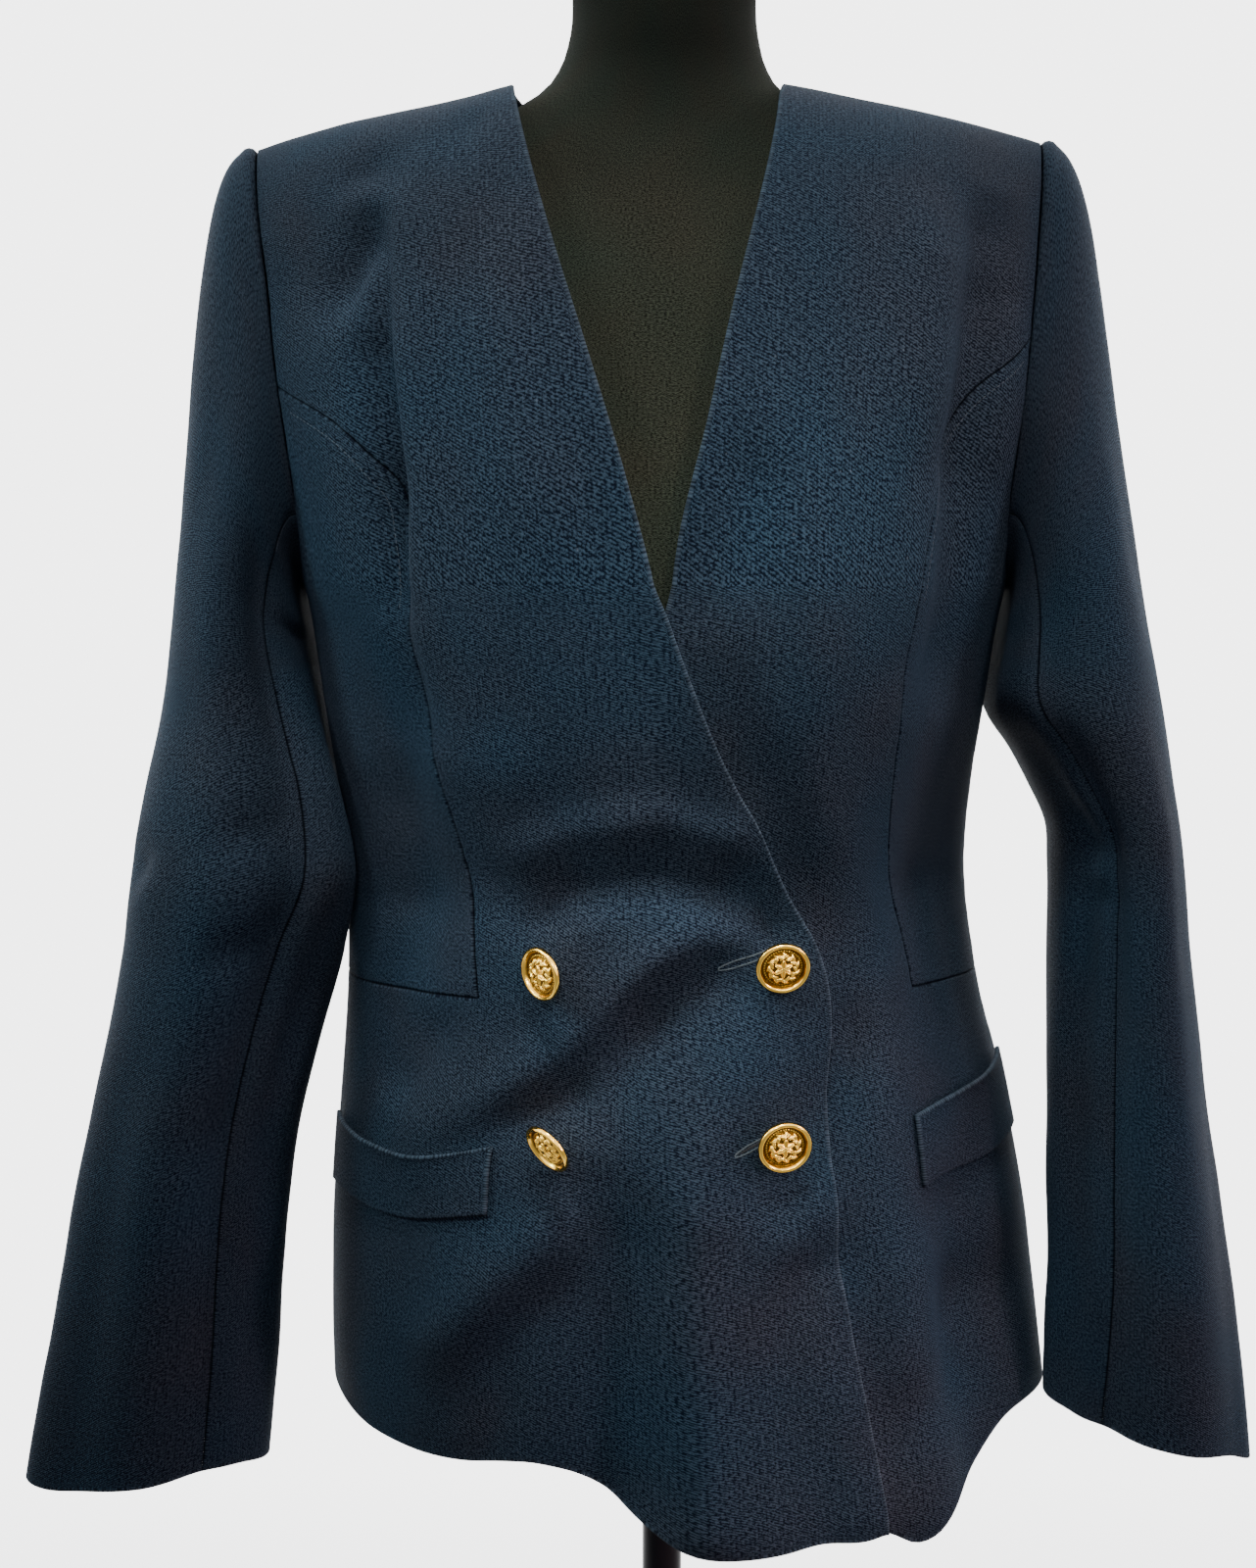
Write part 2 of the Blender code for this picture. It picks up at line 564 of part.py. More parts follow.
def back_panel(side, name, collection):
    """Half of the back, from the centre back seam to the side seam and the back of the armhole."""
    limit = 360.0 if side == RIGHT else 180.0
    centre = 270.0
    side_levels = blend(hem_level(side, side_turn(side, 0.0)), WAIST_LEVEL, SKIRT_ROWS)
    side_levels += blend(WAIST_LEVEL, float(ARMHOLE_BACK("level", 0)), SIDE_ROWS)[1:]
    outer = [(limit, level) for level in side_levels]
    for s in BACK_STATIONS[1:]:
        turn = float(ARMHOLE_BACK("turn", s))
        outer.append((360 - turn if side == RIGHT else 180 + turn, float(ARMHOLE_BACK("level", s))))
    rows = len(outer) - 1
    inner = [(centre, level) for level in blend(HEM_BACK_CENTRE, BACK_NECK_LEVEL, rows - NECK_ROWS)]
    shoulder = free_edge(side, RIDGE_LEVEL)[0]
    reach = float(body_point(shoulder, RIDGE_LEVEL)[0]) - SHOULDER_CENTRE
    for k in range(1, NECK_ROWS):
        angle = math.pi / 2 * k / NECK_ROWS
        level = RIDGE_LEVEL - (RIDGE_LEVEL - BACK_NECK_LEVEL) * math.cos(angle)
        inner.append((360 - float(turn_at(SHOULDER_CENTRE + reach * math.sin(angle), level)), level))
    inner.append((360 - shoulder, RIDGE_LEVEL))
    bottom = []
    for turn in blend(centre, limit, BACK_COLUMNS):
        share = abs(turn - centre) / 90
        bottom.append((turn, HEM_BACK_CENTRE + (side_levels[0] - HEM_BACK_CENTRE) * share ** 2))
    top = [(turn, RIDGE_LEVEL) for turn in blend(inner[-1][0], outer[-1][0], BACK_COLUMNS)]
    places = coons(bottom, top, inner, outer)
    return place_panel(name, places.reshape(-1, 2), grid_cells(rows, BACK_COLUMNS), collection)


def clear_of_body(side, x, y, level):
    """Keep a hanging sleeve outside the body's cloth."""
    level = np.clip(level, 700, BUST_LEVEL)
    depth = np.where(y < 0, TORSO("front", level), TORSO("back", level))
    power = TORSO("squareness", level)
    inside = np.clip(1 - np.abs(y / depth) ** power, 0, 1) ** (1 / power)
    limit = side * TORSO("shift", level) + TORSO("half_width", level) * inside + SLEEVE_CLEARANCE
    out = side * x
    softness = 4.0
    return side * 0.5 * (out + limit + np.sqrt((out - limit) ** 2 + softness ** 2))


def tube_point(side, station, level):
    """Point of the hanging sleeve below the arm."""
    table = SLEEVE_RIGHT if side == RIGHT else SLEEVE_LEFT
    angle = np.radians(station)
    power = 2 / table("squareness", level)
    inner, outer = table("inner", level), table("outer", level)
    across = np.sign(np.cos(angle)) * np.abs(np.cos(angle)) ** power
    around = np.sign(np.sin(angle)) * np.abs(np.sin(angle)) ** power
    x = (inner + outer) / 2 + (inner - outer) / 2 * across
    y = table("middle", level) - table("half_depth", level) * around
    return np.stack([clear_of_body(side, x, y, level), y, level + 0 * x], axis=-1)


def sleeve_point(side, station, drop):
    """Point of the sleeve: drop 0 to 1 is the cap, 1 to 2 the arm down to the cuff."""
    station, drop = np.broadcast_arrays(np.asarray(station, float), np.asarray(drop, float))
    station = station % 360
    cuff = (CUFF_RIGHT if side == RIGHT else CUFF_LEFT)("level", station)
    arm_share = np.clip(drop - 1, 0, 1)
    arm = tube_point(side, station, BICEP_LEVEL + (cuff - BICEP_LEVEL) * arm_share)

    front = station <= 180
    near = np.where(front, station, 360 - station)
    turn = np.where(front, ARMHOLE_FRONT("turn", near), (360 - ARMHOLE_BACK("turn", near)) % 360)
    level = np.where(front, ARMHOLE_FRONT("level", near), ARMHOLE_BACK("level", near))
    start = body_point(side_turn(side, turn), level)
    outward, forward, upward = (CAP(column, station) for column in ("outward", "forward", "upward"))
    leave = np.stack([side * outward, -forward, upward], axis=-1)
    below = 2.0
    ring = tube_point(side, station, BICEP_LEVEL)
    fall = unit(tube_point(side, station, BICEP_LEVEL - below) - ring) * CAP("drop", station)[..., None]
    t = np.clip(drop, 0, 1)[..., None]
    cap = (start * (1 + 2 * t) * (1 - t) ** 2 + leave * t * (1 - t) ** 2
           + ring * t * t * (3 - 2 * t) - fall * t * t * (1 - t))
    cap[..., 0] -= side * HEAD_DRAW[side] * CAP("draw", station) * 16 * (t * (1 - t))[..., 0] ** 2
    return np.where((drop <= 1)[..., None], cap, arm)


def sleeve_surface(side, station, drop):
    step = 0.002
    around = sleeve_point(side, station + 0.25, drop) - sleeve_point(side, station - 0.25, drop)
    down = sleeve_point(side, station, np.minimum(drop + step, 2)) - sleeve_point(
        side, station, np.maximum(drop - step, 0))
    normals = unit(np.cross(around, down)) * -side
    return sleeve_point(side, station, drop), normals


def armhole_insets(side, stations):
    """Room that the sleeve's first ring leaves to the body's edge, more where the two meet at a corner."""
    insets = []
    for station in stations:
        station = station % 360
        turn, level = armhole(side, station)
        _, normal = body_surface(np.array(turn), np.array(level))
        ahead = body_point(*armhole(side, min(station + 1, 180) if station <= 180 else (station + 1) % 360))
        behind = body_point(*armhole(side, max(station - 1, 0) if station <= 180 else station - 1))
        edge = unit(np.cross(ahead - behind, normal))
        leave = unit(sleeve_point(side, station, 0.02) - sleeve_point(side, station, 0.0))
        corner = float(np.linalg.norm(np.cross(edge, leave)))
        insets.append(0.25 + (CLOTH / 2 + 0.25) * min(corner, 1.0))
    return insets


def sleeve_panel(side, stations, name, collection):
    drops = blend(0.0, 1.0, CAP_ROWS) + blend(1.0, 2.0, ARM_ROWS)[1:]
    grid_station, grid_drop = np.meshgrid(np.array(stations, float), np.array(drops))
    points, normals = sleeve_surface(side, grid_station.ravel(), grid_drop.ravel())
    insets = np.zeros(len(points))
    insets[:len(stations)] = armhole_insets(side, stations)
    cells = grid_cells(len(drops) - 1, len(stations) - 1)
    return make_wall(name, points, normals, cells, collection, insets=insets)


def sleeve(side, suffix, collection):
    """Two-piece sleeve, divided by a front seam and a back seam."""
    around = list(FRONT_STATIONS) + [360 - s for s in reversed(BACK_STATIONS[:-1])]
    upper = [s for s in around if FRONT_SEAM <= s <= BACK_SEAM]
    under = [s for s in around if s >= BACK_SEAM] + [s + 360 for s in around if 0 < s <= FRONT_SEAM]
    sleeve_panel(side, upper, "sleeve_upper_" + suffix, collection)
    sleeve_panel(side, under, "sleeve_under_" + suffix, collection)


def pocket_welt(side, name, collection):
    """Curved welt made from the front's points moved out: sewn below, gaping at its free upper edge."""
    table = WELT_RIGHT if side == RIGHT else WELT_LEFT
    columns, rows = 9, 3
    turns = np.linspace(table.knots[0], table.knots[-1], columns + 1)
    points, normals = [], []
    for row in range(rows + 1):
        share = row / rows
        level = table("lower", turns) * (1 - share) + table("upper", turns) * share
        place, normal = body_surface(side_turn(side, turns), level)
        lift = CLOTH / 2 + WELT_GAP + WELT_THICKNESS / 2 + table("gape", turns) * share ** 1.5
        points.append(place + normal * lift[:, None])
        normals.append(normal)
    points, normals = np.concatenate(points), np.concatenate(normals)
    return make_wall(name, points, normals, grid_cells(rows, columns), collection, WELT_THICKNESS)


def turned(name, outline, segments, finish, collection):
    """Solid turned about Z from an outline of (radius, height) in mm, bottom to top."""
    mesh = bpy.data.meshes.new(name)
    vertices = [(radius * MM, 0, height * MM) for radius, height in outline]
    mesh.from_pydata(vertices[::-1], [(k, k + 1) for k in range(len(vertices) - 1)], [])
    item = new_object(name, mesh, finish, collection)
    screw = item.modifiers.new("turn", "SCREW")
    screw.steps = screw.render_steps = segments
    screw.use_merge_vertices = True
    screw.merge_threshold = 0.00001
    screw.use_smooth_shade = True
    return item


def button(row, collection, cutters):
    """Shank button: turned head tilted on a stem that reaches down to the cloth."""
    spec = dict(zip(BUTTON_COLUMNS, row))
    place, normal = body_surface(turn_at(spec["across"], spec["level"]), np.array(spec["level"]))
    yaw, pitch = math.radians(spec["yaw"]), math.radians(spec["pitch"])
    facing = Vector((math.sin(yaw) * math.cos(pitch), -math.cos(yaw) * math.cos(pitch), -math.sin(pitch)))
    normal = Vector(normal)
    tilt = facing.angle(normal)
    height = CLOTH / 2 + 1.2 + 3.0 * math.cos(tilt) + BUTTON_RADIUS * math.sin(tilt)
    centre = Vector(place) + normal * height
    head = turned(spec["name"], BUTTON_OUTLINE[1:], 24, "gold_metal", collection)
    head.matrix_world = Matrix.Translation(centre * MM) @ facing.to_track_quat("Z", "Y").to_matrix().to_4x4()
    bpy.context.view_layer.update()

    foot = Vector(place) + normal * (CLOTH / 2 + 0.35)
    axis = centre - foot
    length = axis.length - 1.0
    bpy.ops.mesh.primitive_cylinder_add(vertices=10, radius=STEM_RADIUS * MM, depth=length * MM)
    stem = bpy.context.object
    stem.name = spec["name"] + "_stem"
    middle = foot + axis.normalized() * length / 2
    stem.matrix_world = Matrix.Translation(middle * MM) @ axis.to_track_quat("Z", "Y").to_matrix().to_4x4()
    for owner in list(stem.users_collection):
        owner.objects.unlink(stem)
    cutters.objects.link(stem)
    stem.hide_render = True
    stem.display_type = "WIRE"
    union = head.modifiers.new("stem", "BOOLEAN")
    union.operation = "UNION"
    union.solver = "EXACT"
    union.object = stem
    return head


def dress_form(collection):
    """Smooth torso and neck, a loft through the form's sections, closed flat at both ends."""
    levels = []
    for low, high in zip(FORM.knots, FORM.knots[1:]):
        steps = math.ceil((high - low) / FORM_ROW)
        levels += [low + (high - low) * k / steps for k in range(steps)]
    levels.append(FORM.knots[-1])
    rings = []
    for level in levels:
        power = 2 / float(FORM("squareness", level))
        trim = FORM_END_TRIM if level in (levels[0], levels[-1]) else 1.0
        ring = []
        for k in range(FORM_SEGMENTS):
            angle = 2 * math.pi * k / FORM_SEGMENTS
            c, s = math.cos(angle), math.sin(angle)
            depth = float(FORM("front", level)) if s < 0 else float(FORM("back", level))
            x = float(FORM("half_width", level)) * math.copysign(abs(c) ** power, c) * trim
            y = depth * math.copysign(abs(s) ** power, s) * trim
            ring.append(Vector((x + float(FORM("shift", level)), y, level)) * MM)
        rings.append(ring)
    loft = bmesh.new()
    rows = [[loft.verts.new(point) for point in ring] for ring in rings]
    for low, high in zip(rows, rows[1:]):
        for k in range(FORM_SEGMENTS):
            after = (k + 1) % FORM_SEGMENTS
            loft.faces.new((low[k], low[after], high[after], high[k]))
    loft.faces.new(rows[0][::-1])
    loft.faces.new(rows[-1])
    mesh = bpy.data.meshes.new("form")
    loft.to_mesh(mesh)
    loft.free()
    mesh.shade_smooth()
    mesh.set_sharp_from_angle(angle=math.radians(50))
    return new_object("form", mesh, "black_jersey", collection)


def stand(collection):
    """Round base plate with a hub, and the pole with the flange that carries the form."""
    hub_top = 26.0
    base = (("radius", "height"), (0, 0), (BASE_RADIUS - 1.5, 0), (BASE_RADIUS, 1.5), (BASE_RADIUS, 6.5),
            (BASE_RADIUS - 2.5, 8), (24, 10), (18, 13), (17, hub_top - 1.5), (15.5, hub_top), (0, hub_top))
    turned("stand_base", base[1:], 48, "black_enamel", collection)
    flange = 3.0
    top = FORM_BOTTOM - 0.35
    pole = (("radius", "height"), (0, hub_top + 0.35), (POLE_RADIUS, hub_top + 0.35),
            (POLE_RADIUS, top - flange - 14), (14, top - flange - 12), (14, top - flange), (42, top - flange),
            (42, top), (0, top))
    turned("stand_pole", pole[1:], 24, "black_enamel", collection)


def main():
    for item in list(bpy.data.objects):
        bpy.data.objects.remove(item, do_unlink=True)
    collection = bpy.data.collections.new("double_breasted_blazer")
    bpy.context.scene.collection.children.link(collection)
    cutters = bpy.data.collections.new("cutters")
    bpy.context.scene.collection.children.link(cutters)

    for side, suffix in ((RIGHT, "right"), (LEFT, "left")):
        front_panel(side, "front_" + suffix, collection)
        side_front(side, "side_front_" + suffix, collection)
        back_panel(side, "back_" + suffix, collection)
        sleeve(side, suffix, collection)
        pocket_welt(side, "pocket_welt_" + suffix, collection)
    for row in BUTTONS:
        button(row, collection, cutters)
    dress_form(collection)
    stand(collection)


main()
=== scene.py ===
"""Looks of a navy double-breasted blazer on a dress form: fine cloth shells, sewing, gold buttons, light.

Places on the garment are the same as in the part's own source: a turn round the body, in degrees (0 at the
wearer's right side, 90 at the front, 180 at the left side, 270 at the back), and a level in mm. Sizes are in
mm and meshes in metres. The wearer's right is at -X and the front faces -Y.
"""
import math

import bpy
import numpy as np
from mathutils import Matrix, Vector, kdtree, noise


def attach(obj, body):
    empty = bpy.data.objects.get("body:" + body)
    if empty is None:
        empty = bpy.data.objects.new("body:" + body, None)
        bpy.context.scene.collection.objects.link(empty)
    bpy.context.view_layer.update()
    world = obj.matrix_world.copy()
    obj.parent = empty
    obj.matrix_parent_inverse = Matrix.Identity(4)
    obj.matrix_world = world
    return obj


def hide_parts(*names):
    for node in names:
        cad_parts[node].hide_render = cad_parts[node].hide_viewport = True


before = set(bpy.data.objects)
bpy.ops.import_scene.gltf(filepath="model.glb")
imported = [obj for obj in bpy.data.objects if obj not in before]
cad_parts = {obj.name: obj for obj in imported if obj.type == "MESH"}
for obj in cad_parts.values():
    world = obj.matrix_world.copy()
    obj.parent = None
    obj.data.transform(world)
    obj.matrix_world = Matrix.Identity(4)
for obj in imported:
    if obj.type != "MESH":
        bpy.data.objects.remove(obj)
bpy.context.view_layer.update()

MM = 0.001
CLOTH = 2.0                  # thickness of the cloth wall
SEAM_GAP = 0.001             # gap between two panels that are sewn together, too fine to let light through
RIGHT, LEFT = -1, 1          # the wearer's sides, as signs of X
SIDES = ((RIGHT, "right"), (LEFT, "left"))
CLOTH_SUFFIX = "_cloth"      # tells a panel here from the part's own solid, which keeps the bare name

BUST_LEVEL = 1150.0          # where the front begins to lean back to the shoulder
BLADE_LEVEL = 1220.0         # the same for the back
RIDGE_LEVEL = 1400.0         # the shoulder seam
WAIST_LEVEL = 953.0          # short waist seam of the side fronts
SHOULDER_CENTRE = -7.5       # X of the middle of the shoulders
SHOULDER_LEAN = 0.009        # rise of the shoulders toward the wearer's left
SEAM_Y = 3.0                 # Y of the shoulder seam
ROLL_POWER = 2.15            # fullness of the curve over the shoulder

LAP_DEPTH, LAP_HIDDEN = 6.0, 3.4        # how far the under front lies below the top one's edge and farther in
LAP_DEEPENS = (-45, -15)     # places across, from the top one's edge, where it goes from one depth to the other
LAP_NEAR, LAP_FAR = 6.0, 40.0           # and where it comes up to the common surface
ROLL_REACH = 24.0            # width of the strip along the top front's edge that rolls out
ROLL, ROLL_MORE = 1.0, 3.2   # how far its edge stands off, and how much more beside the lower neckline
ROLL_RISES, ROLL_FALLS = (840, 1010), (1180, 1330)      # levels between which that comes and goes
ROLL_STARTS = (700, 760)     # levels above the hem between which the whole roll begins

HEM_GUESS, HEM_ROUNDS = 720.0, 4        # first guess of a hem's level, and the rounds that settle it
HEM_EDGE_LEVEL = 700.0       # about where the front edges end
CLEARED_FROM = 700.0         # the sleeves are kept off the body from this level up
ARMHOLE_GAP = 0.25           # room between the sleeve's first ring and the body's edge
DEGREE = 2.75                # length of a degree of turn beside the princess seams
BODY_RADIUS, SLEEVE_RADIUS, FORM_RADIUS = 150.0, 52.0, 140.0     # mean radii, for the weave's coordinates

BUTTON_RADIUS = 13.0
WELT_THICKNESS = 2.4
WELT_GAP = 0.7
POLE_RADIUS = 10.3
BASE_RADIUS = 150.0
FORM_BOTTOM = 775.0
PRINCESS_STATION = {RIGHT: 100, LEFT: 113}      # where the princess seams meet the armholes
FRONT_SEAM, BACK_SEAM = 58, 285


class Table:
    """Rows of named sizes, read as smooth curves along the first column."""

    def __init__(self, columns, *rows):
        names = columns.split()
        values = np.array(rows, dtype=float)
        self.knots = values[:, 0]
        self.columns = dict(zip(names[1:], values[:, 1:].T))

    def __call__(self, name, at):
        knots, values = self.knots, self.columns[name]
        slopes = np.gradient(values, knots)
        at = np.clip(at, knots[0], knots[-1])
        k = np.clip(np.searchsorted(knots, at, side="right") - 1, 0, len(knots) - 2)
        span = knots[k + 1] - knots[k]
        t = (at - knots[k]) / span
        rise = values[k] * (1 + 2 * t) * (1 - t) ** 2 + slopes[k] * span * t * (1 - t) ** 2
        return rise + values[k + 1] * t * t * (3 - 2 * t) - slopes[k + 1] * span * t * t * (1 - t)


# Worn cross-sections of the jacket's body.
TORSO = Table(
    "level half_width front back squareness shift",
    (690, 187.0, 132, 116, 2.35, 15.0),
    (756, 183.4, 131, 119, 2.35, 12.5),
    (819, 179.6, 129, 121, 2.30, 9.2),
    (861, 174.8, 126, 116, 2.30, 7.0),
    (903, 168.6, 120, 104, 2.28, 4.5),
    (944, 162.0, 113, 92, 2.25, 0.5),
    (1006, 158.0, 110, 83, 2.25, -3.5),
    (1046, 160.8, 115, 85, 2.30, -4.0),
    (1087, 166.6, 122, 91, 2.35, -4.0),
    (1150, 176.5, 128, 101, 2.40, -4.0),
    (1200, 191.0, 128, 107, 2.40, -6.0),
    (1300, 206.5, 128, 110, 2.40, -7.5),
    (1400, 215.5, 128, 110, 2.40, -7.5),
)
# Height of the shoulder seam, by distance from the middle of the shoulders.
SHOULDER = Table(
    "across height",
    (0, 1404.0), (67.5, 1396.2), (109, 1387.8), (155, 1378.3), (185, 1370.5), (198, 1366.5), (240, 1352.0),
)
# The armhole, by station round the arm: 0 under the arm, 180 at the shoulder point.
ARMHOLE_FRONT = Table(
    "station level turn",
    (0, 1147, 0), (20, 1149.5, 6.5), (40, 1158, 14.0), (60, 1173, 19.5), (80, 1193, 22.6), (100, 1217, 24.0),
    (120, 1247, 24.5), (140, 1286, 24.8), (160, 1336, 25.4), (180, 1400, 26.4),
)
ARMHOLE_BACK = Table(
    "station level turn",
    (0, 1147, 0), (20, 1150, 6.0), (40, 1160, 12.8), (60, 1178, 18.0), (80, 1203, 21.0), (100, 1234, 22.6),
    (120, 1264, 23.6), (140, 1300, 24.4), (160, 1342, 25.3), (180, 1400, 26.4),
)
# Front edges and necklines: X of each front's free edge.
EDGE_RIGHT = Table(
    "level across",
    (690, 103), (744, 96.6), (798, 87.7), (834, 82.5), (866, 80.2), (912, 79.2), (938, 78.6), (965, 75.5),
    (989, 67.5), (1006, 58.5), (1043, 39.5), (1075, 23.5), (1108, 10.5), (1138, -0.8), (1178, -19.0),
    (1215, -36.0), (1250, -50.4), (1274, -58.2), (1307, -66.3), (1348, -72.2), (1400, -75.2),
)
EDGE_LEFT = Table(
    "level across",
    (690, -95), (744, -92), (798, -88), (866, -84), (938, -81), (965, -77), (989, -69), (1006, -60),
    (1043, -42), (1075, -27), (1108, -13), (1138, -0.8), (1166, 6.9), (1196, 18.6), (1217, 25.4),
    (1237, 31.8), (1258, 38.4), (1287, 46.2), (1315, 51.6), (1357, 56.0), (1400, 60.2),
)
# Princess seams, from the waist seam up to the armhole, by turn from the side.
PRINCESS_RIGHT = Table(
    "share level turn",
    (0.00, 953, 59.0), (0.14, 990, 57.6), (0.33, 1040, 55.2), (0.52, 1090, 52.0), (0.67, 1130, 50.4),
    (0.78, 1160, 51.6), (0.86, 1182, 50.2), (0.93, 1200, 42.0), (1.00, 1217, 24.0),
)
PRINCESS_LEFT = Table(
    "share level turn",
    (0.00, 953, 39.0), (0.10, 979, 39.8), (0.21, 1006, 42.0), (0.34, 1040, 45.4), (0.50, 1084, 48.4),
    (0.66, 1126, 49.6), (0.78, 1160, 48.4), (0.85, 1180, 45.2), (0.90, 1196, 41.4), (0.95, 1216, 35.5),
    (1.00, 1235.7, 24.38),
)
# Hems: level of the lower edge, by X.
HEM_RIGHT = Table(
    "across level",
    (-175, 742), (-165, 738), (-150, 733), (-128, 729.5), (-97, 728.5), (-60, 731), (-46, 727), (-30, 718),
    (-15, 705.5), (3, 696.5), (22, 693.5), (56, 695), (73, 698.5), (97, 699.5), (103, 701),
)
HEM_LEFT = Table(
    "across level",
    (-95, 738), (-56, 738), (-42, 735), (-25, 726), (-8, 714), (8, 706), (24, 704), (56, 704), (97, 703),
    (112, 697), (122, 692), (131, 695), (141, 706), (153, 721), (170, 738), (182, 742), (200, 741),
)
HEM_BACK_CENTRE = 729.0
BACK_NECK_LEVEL = 1330.0     # the neckline's lowest place, at the centre back seam

# Largest folds of the body, each a soft line from one place to another: X and level of its ends, how far
# it is pushed in (-) or out (+), and its half spread.
FOLD_COLUMNS = "from_across from_level to_across to_level depth spread".split()
FOLDS = (
    (-62, 1003, -38, 1030, -3.0, 19),        # arch over the two upper buttons
    (-38, 1030, 4, 1033, -4.0, 19),
    (4, 1033, 42, 1015, -4.0, 19),
    (42, 1015, 62, 990, -2.5, 17),
    (46, 985, 20, 980, -1.5, 17),            # pull from the upper outer button to the lower inner one
    (20, 980, -14, 948, -3.0, 19),
    (-14, 948, -44, 925, -3.0, 19),
    (-44, 925, -80, 906, -2.0, 18),
    (-164, 1262, -142, 1300, -5.0, 24),      # hollow in front of the right armhole
    (-139, 1220, -127, 1176, -4.0, 11),      # crease beside the right princess seam
    (-127, 1176, -127, 1146, -3.5, 11),
    (158, 1243, 146, 1190, -4.0, 11),        # creases in front of the left armhole
    (164, 1240, 161, 1192, 2.5, 8),
    (140, 1180, 133, 1110, -5.0, 22),        # long hollow down the left side front
    (133, 1110, 136, 1010, -4.0, 22),
    (-36, 860, -28, 705, -5.0, 22),          # hanging folds below the buttons
    (28, 850, 34, 705, 4.0, 26),
    (-92, 820, -104, 745, 3.5, 26),
    (160, 800, 158, 720, -9.0, 22),
    (122, 820, 130, 705, 4.5, 20),
    (-88, 1152, -86, 1140, 6.0, 62),         # fullness over the bust
    (80, 1152, 78, 1140, 6.0, 62),
)
BACK_FOLDS = (
    (-70, 930, -96, 745, 5.0, 24),           # soft flutes below the back waist
    (62, 930, 92, 745, 5.0, 24),
    (-120, 900, -142, 750, -4.5, 20),
    (118, 900, 140, 750, -4.5, 20),
    (-60, 985, 50, 985, -3.5, 16),           # drape across the back waist
    (-150, 1190, -110, 1130, -4.5, 18),      # drag from the back armholes
    (138, 1190, 98, 1130, -4.5, 18),
)

